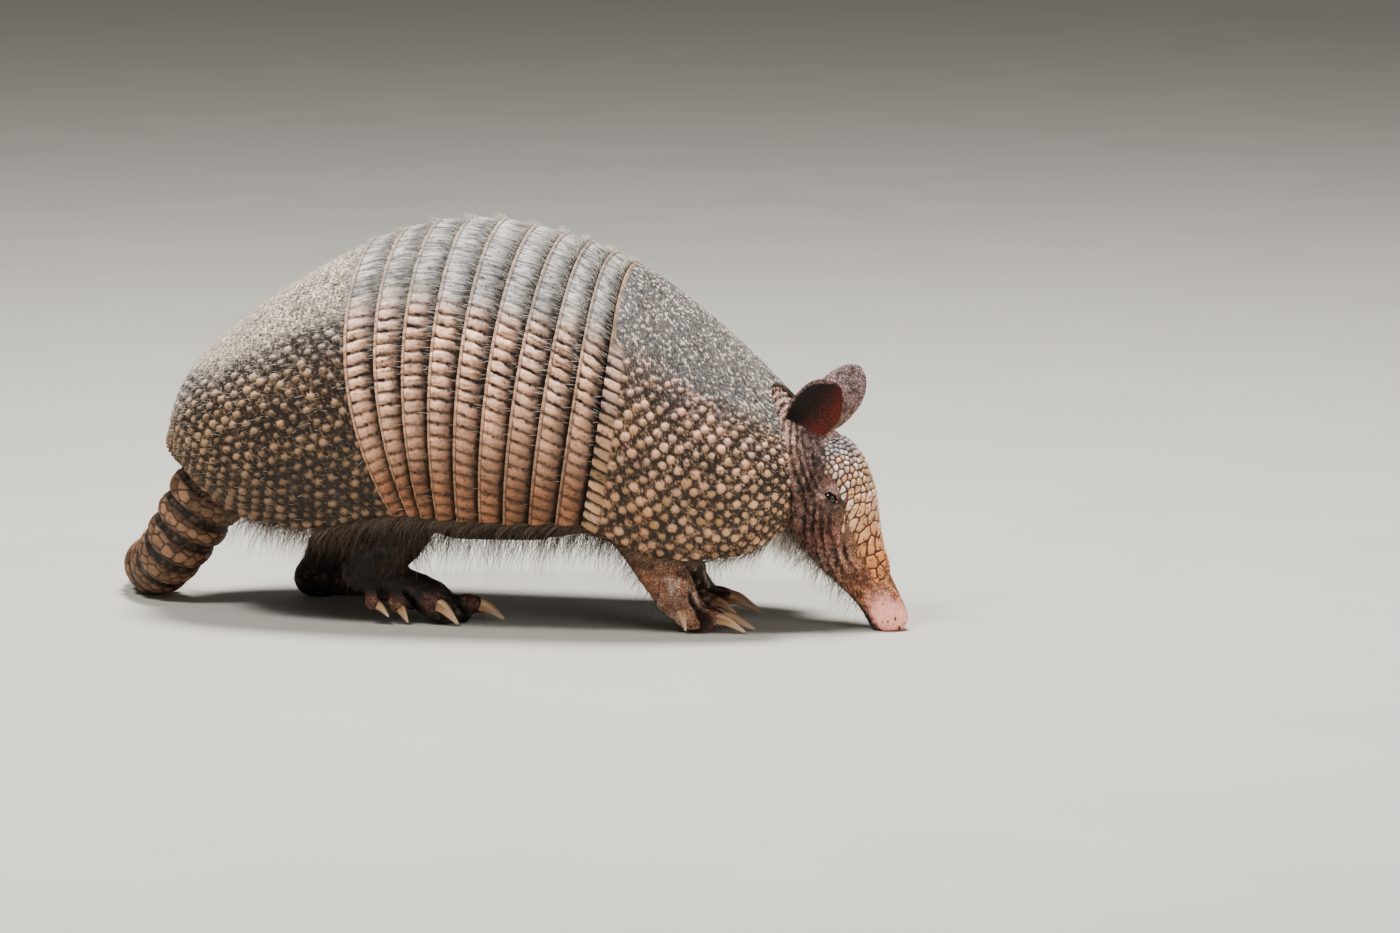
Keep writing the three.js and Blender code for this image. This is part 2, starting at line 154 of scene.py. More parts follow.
def scatter(*cells: Array, seed: int = 0) -> Array:
    """Even random numbers from 0 to 1 that depend only on whole cell numbers.

    Args:
        cells: integer arrays that broadcast together.
        seed: picks one of many such fields.

    Returns:
        One number per cell, by multiplying with large odd numbers and keeping the low bits.
    """
    mixed = np.int64(seed * 7919 + 12345)
    for cell, prime in zip(cells, (73856093, 19349663, 83492791)):
        mixed = mixed ^ (np.asarray(cell, np.int64) * prime)
    mixed = (mixed ^ (mixed >> 13)) * 1274126177 & 0x7FFFFFFF
    mixed = (mixed ^ (mixed >> 11)) * 668265263 & 0x7FFFFFFF
    return (mixed & 0xFFFFFF) / float(0x1000000)


def noise(points: Array, size: float, seed: int = 0) -> Array:
    """Smooth value noise: random numbers at the corners of cubes, mixed inside each cube.

    Args:
        points: places in millimetres, three numbers each.
        size: edge of a cube in millimetres.
        seed: picks one of many such fields.

    Returns:
        One number from -1 to 1 for each point.
    """
    cell = np.asarray(points, float) / size
    base = np.floor(cell).astype(np.int64)
    f = cell - base
    f = f * f * (3.0 - 2.0 * f)
    total = np.zeros(cell.shape[:-1])
    for corner in range(8):
        step = np.array([corner & 1, corner >> 1 & 1, corner >> 2])
        weight = np.prod(np.where(step == 1, f, 1.0 - f), axis=-1)
        at = base + step
        total += weight * scatter(at[..., 0], at[..., 1], at[..., 2], seed=seed)
    return total * 2.0 - 1.0


def scutes(
    row: Array, column: Array, ratio: Array, jitter: float, seed: int, skew: Array | float = 0.0
) -> tuple:
    """Nearest centres of a staggered, slightly untidy grid of scutes.

    Args:
        row: which row a point lies in, as a real number.
        column: place along the row, in scutes.
        ratio: distance between rows over distance between scutes in a row.
        jitter: share of a cell by which centres stray.
        seed: picks the strays.
        skew: cosine of the angle between the directions of rows and columns on the surface.

    Returns:
        Distance to the nearest centre and to the second nearest, in scutes, and a random number per scute.
    """
    nearest = np.full(np.shape(row), 1e9)
    second = nearest.copy()
    pick = np.zeros(np.shape(row))
    middle = np.floor(row + 0.5).astype(int)
    for down in (-1, 0, 1):
        line = middle + down
        # Every second row lies half a scute along.
        shift = 0.5 * (line % 2)
        first = np.floor(column - shift + 0.5).astype(int)
        for over in (-1, 0, 1):
            place = first + over
            stray_row = jitter * (scatter(line, place, seed=seed) - 0.5)
            stray_column = jitter * (scatter(line, place, seed=seed + 1) - 0.5)
            a, b = (row - line - stray_row) * ratio, column - place - shift - stray_column
            away = np.sqrt(np.maximum(a * a + b * b + 2 * a * b * skew, 0))
            closer = away < nearest
            second = np.where(closer, nearest, np.minimum(second, away))
            pick = np.where(closer, scatter(line, place, seed=seed + 2), pick)
            nearest = np.where(closer, away, nearest)
    return nearest, second, pick


# ---------------------------------------------------------------- colours and nodes


def linear(hex_colour: str) -> Array:
    """Linear RGB of an sRGB colour written as #rrggbb."""
    c = np.array([int(hex_colour[i : i + 2], 16) for i in (1, 3, 5)]) / 255.0
    return np.where(c <= 0.04045, c / 12.92, ((c + 0.055) / 1.055) ** 2.4)


def add_node(
    tree: bpy.types.NodeTree, kind: str, links: dict | None = None, **settings: object
) -> bpy.types.Node:
    """Adds one node, sets it up and links its inputs.

    Args:
        tree: the material's node tree.
        kind: Blender's name of the node type.
        links: input name or number to the output socket that feeds it.
        settings: attributes of the node; a key that starts with in_ sets that input's own value.

    Returns:
        The new node.
    """
    node = tree.nodes.new(kind)
    for key, value in settings.items():
        if key.startswith("in_"):
            name = key[3:].replace("_", " ")
            node.inputs[int(name) if name.isdigit() else name].default_value = value
        else:
            setattr(node, key, value)
    for name, socket in (links or {}).items():
        tree.links.new(socket, node.inputs[name])
    return node


def clouds(tree: bpy.types.NodeTree, place: Socket, size_mm: float, detail: float = 2.0) -> bpy.types.Node:
    """Adds a noise whose grains are about size_mm wide."""
    return add_node(
        tree, "ShaderNodeTexNoise", {"Vector": place}, in_Scale=1000 / size_mm, in_Detail=detail
    )


def combine(tree: bpy.types.NodeTree, how: str, a: Socket, b: Socket) -> Socket:
    """Adds a sum, a product or the larger of two values."""
    return add_node(tree, "ShaderNodeMath", {0: a, 1: b}, operation=how).outputs[0]


def spread(tree: bpy.types.NodeTree, value: Socket, low: float, high: float, **ends: float) -> Socket:
    """Stretches a value from its ends, 0 and 1 unless given, to low and high."""
    node = add_node(tree, "ShaderNodeMapRange", {"Value": value}, in_To_Min=low, in_To_Max=high, **ends)
    return node.outputs[0]


@dataclass(frozen=True)
class Finish:
    """A finish coloured by the piece's own Pigment attribute, whose alpha says how wet it is.

    grain_mm is the size of the fine noise that varies the colour, mottle how much, bump_mm and depth_mm
    the size and depth of the finest relief, and cell_mm the size of small skin scales, where it has them.
    """

    name: str
    roughness: float
    grain_mm: float = 2.0
    mottle: float = 0.25
    bump_mm: float = 0.8
    depth_mm: float = 0.15
    cell_mm: float = 0.0
    coat: float = 0.0
    subsurface: float = 0.0
    specular: float = 0.3

    def scales(self, tree: bpy.types.NodeTree, place: Socket) -> Socket:
        """Domes of small scales: 0 in the seams between cells, rising to 1 inside them.

        Args:
            tree: the material's node tree.
            place: coordinates in metres.

        Returns:
            The socket that holds the height.
        """
        bent = clouds(tree, place, 2 * self.cell_mm).outputs["Color"]
        reach = self.cell_mm / 1400
        pull = add_node(tree, "ShaderNodeVectorMath", {0: bent}, operation="SCALE", in_Scale=reach)
        moved = add_node(tree, "ShaderNodeVectorMath", {0: place, 1: pull.outputs[0]}, operation="ADD")
        cells = add_node(
            tree, "ShaderNodeTexVoronoi", {"Vector": moved.outputs[0]},
            feature="DISTANCE_TO_EDGE", in_Scale=1000 / self.cell_mm,
        )
        return spread(tree, cells.outputs["Distance"], 0.0, 1.0, in_From_Max=0.22)

    def material(self) -> bpy.types.Material:
        """Builds the material: pigment varied by two sizes of noise, over scales and a fine bump.

        Returns:
            The new material.
        """
        made = bpy.data.materials.new(self.name)
        made.use_nodes = True
        tree = made.node_tree
        shader = tree.nodes["Principled BSDF"]
        place = add_node(tree, "ShaderNodeTexCoord").outputs["Object"]
        paint = add_node(tree, "ShaderNodeAttribute", attribute_name="Pigment").outputs
        grain = clouds(tree, place, self.grain_mm, 4.0).outputs["Fac"]
        patch = clouds(tree, place, self.grain_mm * 1000 / 110, 3.0).outputs["Fac"]
        both = combine(tree, "ADD", grain, patch)
        shade = spread(tree, both, 1.0 - self.mottle, 1.0 + self.mottle, in_From_Min=0.6, in_From_Max=1.4)
        relief = clouds(tree, place, self.bump_mm, 3.0).outputs["Fac"]
        if self.cell_mm:
            # Painted shade and light: the colour darkens in the seams between the scales and lightens on
            # their domes, less so where the skin is wet.
            domed = combine(tree, "MAXIMUM", self.scales(tree, place), paint["Alpha"])
            shade = combine(tree, "MULTIPLY", shade, spread(tree, domed, 0.3, 1.2))
            relief = combine(tree, "ADD", relief, domed)
        colour = add_node(
            tree, "ShaderNodeVectorMath", {0: paint["Color"], "Scale": shade}, operation="SCALE"
        )
        bump = add_node(
            tree, "ShaderNodeBump", {"Height": relief}, in_Strength=0.7, in_Distance=self.depth_mm / 1000
        )
        rough = spread(tree, grain, self.roughness - 0.1, self.roughness + 0.1)
        gloss = combine(tree, "MULTIPLY", rough, spread(tree, paint["Alpha"], 1.0, 0.5))
        for name, socket in (
            ("Base Color", colour.outputs[0]), ("Normal", bump.outputs[0]), ("Roughness", gloss)
        ):
            tree.links.new(socket, shader.inputs[name])
        for name, value in (
            ("Specular IOR Level", self.specular), ("Coat Weight", self.coat), ("Coat Roughness", 0.2),
            ("Subsurface Weight", self.subsurface), ("Subsurface Radius", (0.003, 0.0012, 0.0006)),
            ("Subsurface Scale", 1.0),
        ):
            shader.inputs[name].default_value = value
        return made


# Bony scutes under a thin horny skin: matt, with a dull shine; the lighter tops of the scutes are painted
# light in their colours.
SCUTE_FINISH = Finish("bony_scutes_horn_skin", 0.6, grain_mm=1.6, mottle=0.3, bump_mm=0.5, depth_mm=0.14)
# Long bony tiles of the bands: smoother than the shields, with streaks of dirt.
TILE_FINISH = Finish("bony_band_tiles", 0.55, grain_mm=2.4, mottle=0.26, bump_mm=0.7, depth_mm=0.16)
# Plates of the forehead: rubbed pale, faintly waxy.
PLATE_FINISH = Finish("rubbed_head_plates", 0.5, grain_mm=2.0, mottle=0.2, bump_mm=0.6, depth_mm=0.12)
# Living hide with sweat, darker in its wrinkles and in the seams between its small scales as painted shade:
# soft, scaly, slightly translucent and uneven.
HIDE_FINISH = Finish(
    "wrinkled_scaly_hide", 0.55, grain_mm=1.8, mottle=0.5, bump_mm=0.6, depth_mm=0.45, cell_mm=1.55,
    subsurface=0.03, specular=0.4,
)
# Horn of the claws: layered keratin, worn smooth along the top.
HORN_FINISH = Finish(
    "worn_claw_horn", 0.42, grain_mm=1.2, mottle=0.16, bump_mm=0.6, depth_mm=0.08, coat=0.15
)
# Coarse hair: pale keratin, dull.
HAIR_FINISH = Finish("coarse_hair", 0.62, grain_mm=6.0, mottle=0.18, bump_mm=2.0, depth_mm=0.02)
# Wet cornea over a black-brown iris: a dark bead with a sharp shine.
EYE_FINISH = Finish(
    "wet_eye", 0.12, grain_mm=1.0, mottle=0.1, bump_mm=1.0, depth_mm=0.001, coat=0.15, specular=0.5
)


class Materials:
    """The materials, each made the first time that a piece asks for its finish."""

    made: dict[str, bpy.types.Material] = {}

    @classmethod
    def of(cls, finish: Finish) -> bpy.types.Material:
        """The material of a finish, made if it isn't there yet."""
        if finish.name not in cls.made:
            cls.made[finish.name] = finish.material()
        return cls.made[finish.name]


# ---------------------------------------------------------------- meshes


@dataclass
class Patch:
    """Faces of one kind: their vertices, their corners' places in the unwrap, and if they shade smoothly."""

    corners: Array
    unwrap: Array
    smooth: bool = True


@dataclass
class Surface:
    """A closed mesh that isn't made yet: vertices in the animal's millimetres, faces and an unwrap."""

    points: Array
    patches: list[Patch]
    uv: Array | None = None

    def make(
        self, name: str, finish: Finish, pigment: Array, slot: str, nodes: Sequence[str] = ()
    ) -> bpy.types.Object:
        """Makes the object: at the origin, riding on the root body, and standing for the given nodes.

        Args:
            name: the piece's name.
            finish: what the surface is made of.
            pigment: linear colour of each vertex, with wetness as a fourth number if it has one.
            slot: the record's material slot; not used.
            nodes: CAD nodes that the piece replaces.

        Returns:
            The made object.
        """
        mesh = bpy.data.meshes.new(name)
        mesh.vertices.add(len(self.points))
        mesh.vertices.foreach_set("co", ((self.points + MODEL_SHIFT) / 1000).astype(np.float32).ravel())
        corners = np.concatenate([p.corners.ravel() for p in self.patches])
        totals = np.concatenate([np.full(len(p.corners), p.corners.shape[1]) for p in self.patches])
        mesh.loops.add(len(corners))
        mesh.loops.foreach_set("vertex_index", corners.astype(np.int32))
        mesh.polygons.add(len(totals))
        mesh.polygons.foreach_set("loop_start", (np.cumsum(totals) - totals).astype(np.int32))
        mesh.polygons.foreach_set("loop_total", totals.astype(np.int32))
        mesh.update(calc_edges=True)
        smooth = np.concatenate([np.full(len(p.corners), p.smooth) for p in self.patches])
        mesh.polygons.foreach_set("use_smooth", smooth)
        if self.uv is not None:
            unwrap = np.concatenate([p.unwrap.ravel() for p in self.patches])
            mesh.uv_layers.new(name="OFBake").uv.foreach_set(
                "vector", self.uv[unwrap].astype(np.float32).ravel()
            )
        rgba = np.zeros((len(self.points), 4))
        rgba[:, : pigment.shape[-1]] = pigment.reshape(len(self.points), -1)
        paint = mesh.color_attributes.new("Pigment", "FLOAT_COLOR", "POINT")
        paint.data.foreach_set("color", rgba.astype(np.float32).ravel())
        mesh.materials.append(Materials.of(finish))
        made = bpy.data.objects.new(name, mesh)
        bpy.context.scene.collection.objects.link(made)
        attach(made, "root")
        if nodes:
            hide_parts(*nodes)
        LOG.info("%s: %d vertices, %d triangles", name, len(self.points), np.sum(totals - 2))
        return made


def grid_faces(rows: int, columns: int, start: int = 0, wrap: bool = False, flip: bool = False) -> Array:
    """Quads of a grid of vertices stored row by row.

    Args:
        rows: vertices in the first direction.
        columns: vertices in the second direction.
        start: number of the first vertex.
        wrap: whether the last column joins the first.
        flip: whether the faces turn the other way.

    Returns:
        Four vertex numbers per face.
    """
    r, c = np.meshgrid(np.arange(rows - 1), np.arange(columns if wrap else columns - 1), indexing="ij")
    right = (c + 1) % columns
    first = r * columns
    quads = np.stack([first + c, first + right, first + columns + right, first + columns + c], -1)
    quads = quads.reshape(-1, 4) + start
    return quads[:, ::-1] if flip else quads


def closed_sheet(outer: Array, inner: Array, chart: Array) -> Surface:
    """Closes a finely divided outer sheet with a coarser inner one and a wall around the edge.

    Both are grids over the same two parameters. The outer one divides each cell of the inner one a whole
    number of times, and each wall face joins one inner edge to all the outer edges above it. In the unwrap
    the outer sheet takes the lowest four fifths, with the inner sheet and the four walls in strips above
    it.

    Args:
        outer: outer grid of points.
        inner: inner grid of points.
        chart: place of each outer point in the unwrap, from 0 to 1.

    Returns:
        The closed surface; its outer points come first.
    """
    (n, m), (a, b) = outer.shape[:2], inner.shape[:2]
    step = ((n - 1) // (a - 1), (m - 1) // (b - 1))
    top = np.arange(n * m).reshape(n, m)
    under = np.arange(a * b).reshape(a, b) + n * m
    points = np.concatenate([outer.reshape(-1, 3), inner.reshape(-1, 3)])
    uv = [
        (chart * [0.98, 0.79] + 0.01).reshape(-1, 2),
        (chart[:: step[0], :: step[1]] * [0.98, 0.08] + [0.01, 0.82]).reshape(-1, 2),
    ]
    front, back = grid_faces(n, m), grid_faces(a, b, n * m, flip=True)
    patches = [Patch(front, front), Patch(back, back, False)]
    edges = [
        (top[0][::-1], under[0][::-1], step[1]), (top[-1], under[-1], step[1]),
        (top[:, 0], under[:, 0], step[0]), (top[:, -1][::-1], under[:, -1][::-1], step[0]),
    ]
    used = n * m + a * b
    for i, (fine, coarse, stride) in enumerate(edges):
        run = np.arange(0, len(fine) - 1, stride)[:, None] + np.arange(stride, -1, -1)
        ends = np.stack([np.arange(len(coarse) - 1), np.arange(1, len(coarse))], -1)
        patches.append(Patch(
            np.concatenate([fine[run], coarse[ends]], 1)[:, ::-1],
            np.concatenate([run + used, ends + used + len(fine)], 1)[:, ::-1], False,
        ))
        for count, lift in ((len(fine), 0.012), (len(coarse), 0.0)):
            across = np.linspace(0.01, 0.99, count)
            uv.append(np.stack([across, np.full(count, 0.92 + 0.018 * i + lift)], -1))
        used += len(fine) + len(coarse)
    return Surface(points, patches, np.concatenate(uv))


def closed_tube(rings: Array, flip: bool = False) -> Surface:
    """Closes a tube of rings with a point at each end.

    The unwrap is the tube slit along its first column and laid flat, with the two ends below and above it.

    Args:
        rings: grid of points, one row per ring.
        flip: whether the faces turn the other way, for rings that run clockwise seen from the tube's
        start.

    Returns:
        The closed surface; the ring points come first, then the two poles.
    """
    n, m = rings.shape[:2]
    points = np.concatenate([rings.reshape(-1, 3), rings[[0, -1]].mean(axis=1)])
    faces = grid_faces(n, m, wrap=True)
    flat = grid_faces(n, m + 1)
    across, up = np.meshgrid(np.linspace(0.01, 0.99, m + 1), np.linspace(0.04, 0.96, n))
    uv = [np.stack([across, up], -1).reshape(-1, 2)]
    patches = [Patch(faces, flat)]
    around = np.arange(m)
    following = (around + 1) % m
    used = n * (m + 1)
    for i, row in enumerate((0, n - 1)):
        turn = 1 - 2 * i
        fan = np.stack([row * m + following, row * m + around, np.full(m, n * m + i)], -1)
        first = row * (m + 1)
        flat_fan = np.stack([first + around + 1, first + around, np.full(m, used + i)], -1)
        patches.append(Patch(fan[:, ::turn], flat_fan[:, ::turn]))
        uv.append(np.array([[0.5, 0.01 + 0.98 * i]]))
    if flip:
        patches = [Patch(p.corners[:, ::-1], p.unwrap[:, ::-1]) for p in patches]
    return Surface(points, patches, np.concatenate(uv))


# ---------------------------------------------------------------- the animal's own surfaces


@dataclass(frozen=True)
class Carapace:
    """The armour's smooth surface: ribs that run from one lower edge over the back to the other.

    stations holds, evenly from the neck margin (u = 0) over the shoulder shield (1) and the bands (2) to
    the tail notch (3): x and z of the midline, x and z of the lower edge, half-width, forward bow of the
    side and the angle from the midline to the lower edge.
    """

    stations: tuple = (
        (144.6, 124, 155, 51, 43, 11.5, 124),
        (122.6, 146, 135, 41, 56, 10, 124),
        (98, 166, 95, 40, 66, 8, 124),
        (70.6, 183.3, 57, 55, 72, 6, 124),
        (34.2, 198, 17, 56, 75, 0, 124),
        (-15, 205, -17, 57.5, 77, -2.5, 124),
        (-65, 193, -40, 58.5, 76, -9, 124),
        (-119, 163, -84, 50, 70, -12, 121),
        (-158, 130, -128, 56, 54, -10, 112),
        (-174, 92, -164, 79, 26, -2, 94),
    )

    def point(self, u: Array, v: Array) -> Array:
        """Surface point at rib u and angle share v.

        The rib turns by v times its full angle. It sinks from the back to the lower edge with one minus
        the cosine of that angle, reaches out with its sine and bows forward most half way down.

        Args:
            u: rib, 0 to 3.
            v: share of the angle, -1 at the right edge and 1 at the left.

        Returns:
            Points in millimetres.
        """
        s = curve(self.stations, np.asarray(u) / 3.0)
        full = np.radians(s[..., 6])
        down = (1 - np.cos(full * v)) / (1 - np.cos(full))
        x = s[..., 0] * (1 - down) + s[..., 2] * down + s[..., 5] * 4 * down * (1 - down)
        z = s[..., 1] * (1 - down) + s[..., 3] * down
        return np.stack([x, s[..., 4] * np.sin(full * v), z], -1)

    def length(self, u: Array, v: Array) -> float:
        """Length in millimetres of the line through a row of places."""
        return np.linalg.norm(np.diff(self.point(u, v), axis=0), axis=1).sum()

    def normal(self, u: Array, v: Array) -> Array:
        """Unit normals, from the cross product of steps along and across the ribs."""
        forward = self.point(u - SMALL, v) - self.point(u + SMALL, v)
        return unit(np.cross(forward, self.point(u, v + SMALL) - self.point(u, v - SMALL)))


@dataclass(frozen=True)
class Tube:
    """A limb-like surface through stations x, y, z, half-width and half-depth; its width is held level."""

    stations: tuple

    def frame(self, t: Array) -> tuple:
        """Centre, direction, sideways and depth vectors, half-width and half-depth.

        Args:
            t: places along the tube, from 0 to 1.

        Returns:
            The four vectors and the two sizes at each t.
        """
        s = curve(self.stations, t)
        reach = 0.01
        ends = [curve(self.stations, np.clip(t + step, 0, 1)) for step in (-reach, reach)]
        tangent = unit((ends[1] - ends[0])[..., :3])
        across = unit(np.array([0.0, 1.0, 0.0]) - tangent * tangent[..., 1:2])
        return s[..., :3], tangent, across, np.cross(across, tangent), s[..., 3], s[..., 4]

    def point(self, t: Array, angle: Array, grow: Array | float = 0.0) -> Array:
        """Finds points on the tube, or at a distance over it.

        Args:
            t: places along the tube, from 0 to 1.
            angle: angles round it, in radians from its left side.
            grow: distance over the surface.

        Returns:
            Points in millimetres.
        """
        centre, _, across, deep, wide, thick = self.frame(np.asarray(t, float))
        a = ((wide + grow) * np.cos(angle))[..., None] * across
        return centre + a + ((thick + grow) * np.sin(angle))[..., None] * deep


CARAPACE = Carapace()
HEAD = Tube((
    (160, 0, 93, 17, 18), (167, -0.5, 78.5, 22.5, 25), (174.5, -1.5, 60.5, 22.5, 24.5),
    (182, -3, 45.5, 18.5, 20),
    (190, -4.5, 32.5, 14.3, 15), (199.2, -6, 19.2, 11.4, 11.3), (205.2, -7.5, 9, 10.2, 10.6),
    (208.3, -8, 2.6, 8.6, 9.8), (209.6, -8.2, -0.8, 5.2, 5.8),
))
NECK = Tube(((126, 0, 88, 36, 27), (143, 0, 82, 37, 30), (156, 0, 75.5, 32, 31), (168, -1, 67, 24.5, 28)))
NAPE = Tube((
    (110, 0, 95, 42, 46), (126, 0, 95, 42, 41.5), (138, 0, 95, 40, 32), (146, 0, 95, 37, 26.5),
    (152, 0, 95, 33, 20),
    (158, 0, 95, 24, 12), (166, 0, 95, 10, 6),
))
TAIL = Tube((
    (-134, 0, 90, 19, 19), (-149.5, 0, 69.5, 20.6, 20.6), (-162.5, 1, 49.8, 19.6, 19.6),
    (-174.5, 4, 32.3, 17.8, 17.8), (-186, 14, 19.6, 16.4, 16.4), (-196.5, 31, 14.9, 15.1, 15.1),
    (-203.5, 52, 12.9, 13.1, 13.1), (-208, 75, 11, 11.2, 11.2), (-211, 99, 9.2, 9.4, 9.4),
    (-212.5, 122, 7.3, 7.5, 7.5), (-213, 143, 5.5, 5.7, 5.7), (-212, 163, 3.8, 4, 4),
    (-209.5, 180, 2.2, 2.4, 2.4),
))
EYE_RADIUS = 3.9
EYE_DEPTH = 2.6
EYE_T = 0.217
EYE_ANGLE = -0.31


def eye_centre(side: Side) -> Array:
    """Centre of an eyeball, sunk into the side of the head."""
    angle = EYE_ANGLE if side is Side.LEFT else np.pi - EYE_ANGLE
    return HEAD.point(np.array(EYE_T), np.array(angle), -EYE_DEPTH)


def model_shift() -> Array:
    """Offset from the animal's millimetres to the frame's, from where the frame has the right eye."""
    low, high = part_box("eye_right")
    return np.array([(a + b) * 500 for a, b in zip(low, high)]) - eye_centre(Side.RIGHT)


MODEL_SHIFT = model_shift()


# ---------------------------------------------------------------- armour of the trunk


@dataclass(frozen=True)
class Pigments:
    """Named colours of the armour, from the grey back down to the tan sides."""

    back: Array = field(default_factory=partial(linear, "#96908a"))
    flank: Array = field(default_factory=partial(linear, "#f4bc99"))
    low: Array = field(default_factory=partial(linear, "#85573a"))
    groove: Array = field(default_factory=partial(linear, "#150c08"))
    ground: Array = field(default_factory=partial(linear, "#170f0b"))
    pearl: Array = field(default_factory=partial(linear, "#d9cbbd"))
    olive: Array = field(default_factory=partial(linear, "#b48f6c"))
    rust: Array = field(default_factory=partial(linear, "#a0653c"))
    rim: Array = field(default_factory=partial(linear, "#b08c6c"))


PIGMENTS = Pigments()
BANDS = 9
# Share of the shoulder shield over which the armour thins to a lip at the neck, and the lip's thickness.
NECK_MARGIN = 0.083
THIN_LIP = 1.1


@dataclass
class Lay:
    """Where the vertices of a piece of armour lie.

    u is the rib and v the angle share, out is how far out from the midline that is, share the place from
    the piece's front to its rear, along the distance along the rib from the midline, per_u the millimetres
    per unit of u where that distance stays the same, and skew the cosine of the angle between the two
    directions.
    """

    u: Array
    v: Array
    share: Array
    along: Array
    per_u: Array
    skew: Array
    out: Array = field(init=False)
    points: Array = field(init=False)

    def __post_init__(self) -> None:
        """Works out what follows from the rib and the angle share."""
        self.out, self.points = np.abs(self.v), CARAPACE.point(self.u, self.v)


@dataclass
class ArmourPiece:
    """Part of the carapace between two ribs, closed below, its relief and colours worked out per vertex.

    mesh_mm is the size of the finest faces, thick the armour's thickness, lip the height of its rear edge
    and coarse the number of faces of its inner side each way.
    """

    node: str
    front: float
    rear: float
    lip: float = 1.4
    thick: float = 3.0
    mesh_mm: float = 0.7
    slot: str = "armour"
    finish: Finish = SCUTE_FINISH
    coarse: tuple[int, int] = (6, 36)

    def grid(self, rows: int, columns: int) -> tuple[Array, Array]:
        """Ribs and angle shares of a grid over the whole piece, of that many faces each way."""
        ribs, shares = np.linspace(self.front, self.rear, rows + 1), np.linspace(-1, 1, columns + 1)
        return tuple(np.meshgrid(ribs, shares, indexing="ij"))

    def lay(self) -> Lay:
        """Divides the outer side finely, a whole number of times for each face of the inner one.

        Returns:
            Where the outer vertices lie.
        """
        length = CARAPACE.length(np.linspace(self.front, self.rear, 40), 0.45)
        rib = CARAPACE.length((self.front + self.rear) / 2, np.linspace(-1, 1, 200))
        rows, columns = (
            int(np.ceil(a / self.mesh_mm / b)) * b for a, b in zip((length, rib), self.coarse)
        )
        u, v = self.grid(rows, columns)
        steps = np.linalg.norm(np.diff(CARAPACE.point(u, v), axis=1), axis=-1)
        along = np.concatenate([np.zeros((rows + 1, 1)), np.cumsum(steps, axis=1)], axis=1)
        along -= along[:, [(columns + 1) // 2]]
        by_u = (CARAPACE.point(u + SMALL, v) - CARAPACE.point(u - SMALL, v)) / (2 * SMALL)
        by_v = unit(CARAPACE.point(u, v + SMALL) - CARAPACE.point(u, v - SMALL))
        by_u = by_u - by_v * np.gradient(along, u[:, 0], axis=0)[..., None]
        per_u = np.linalg.norm(by_u, axis=-1)
        share = (u - self.front) / (self.rear - self.front)
        return Lay(u, v, share, along, per_u, np.sum(by_u * by_v, axis=-1) / per_u)

    def relief(self, at: Lay) -> tuple[Array, Array]:
        """Height over the smooth surface and colour; each kind of armour has its own."""
        raise NotImplementedError

    def depth(self, u: Array) -> Array:
        """The armour's thickness, which thins to a lip at the neck margin."""
        return THIN_LIP + (self.thick - THIN_LIP) * np.clip(u / NECK_MARGIN, 0, 1)

    def build(self) -> None:
        """Makes the piece, standing for its node.

        The outer sheet is the smooth surface moved out along its normal by the lip's slope plus the
        relief, and the inner sheet is moved in by the armour's thickness.
        """
        at = self.lay()
        height, pigment = self.relief(at)
        edge = ramp(1.0 - at.out, 0.0, 0.012)
        height = (self.lip * at.share + height) * edge - self.thick * 0.45 * (1 - edge)
        outer = at.points + CARAPACE.normal(at.u, at.v) * height[..., None]
        u, v = self.grid(*self.coarse)
        inner = CARAPACE.point(u, v) - CARAPACE.normal(u, v) * self.depth(u)[..., None]
        chart = np.stack([(at.along / np.abs(at.along).max() + 1) / 2, at.share], -1)
        under = blend(PIGMENTS.rim * 0.4, PIGMENTS.groove, ramp(u, 0.0, 0.05)).reshape(-1, 3)
        paint = np.concatenate([pigment.reshape(-1, 3), under])
        closed_sheet(outer, inner, chart).make(
            f"{self.node}_scutes", self.finish, paint, self.slot, [self.node]
        )


def tan_by_height(at: Lay) -> Array:
    """Colour of a scute's top: grey on the back, tan on the side, orange-brown along the lower edge."""
    side = at.out + 0.05 * noise(at.points, 30, 3)
    return layered(
        PIGMENTS.back, (PIGMENTS.flank, ramp(side, 0.34, 0.54)), (PIGMENTS.low, ramp(side, 0.62, 0.9))
    )


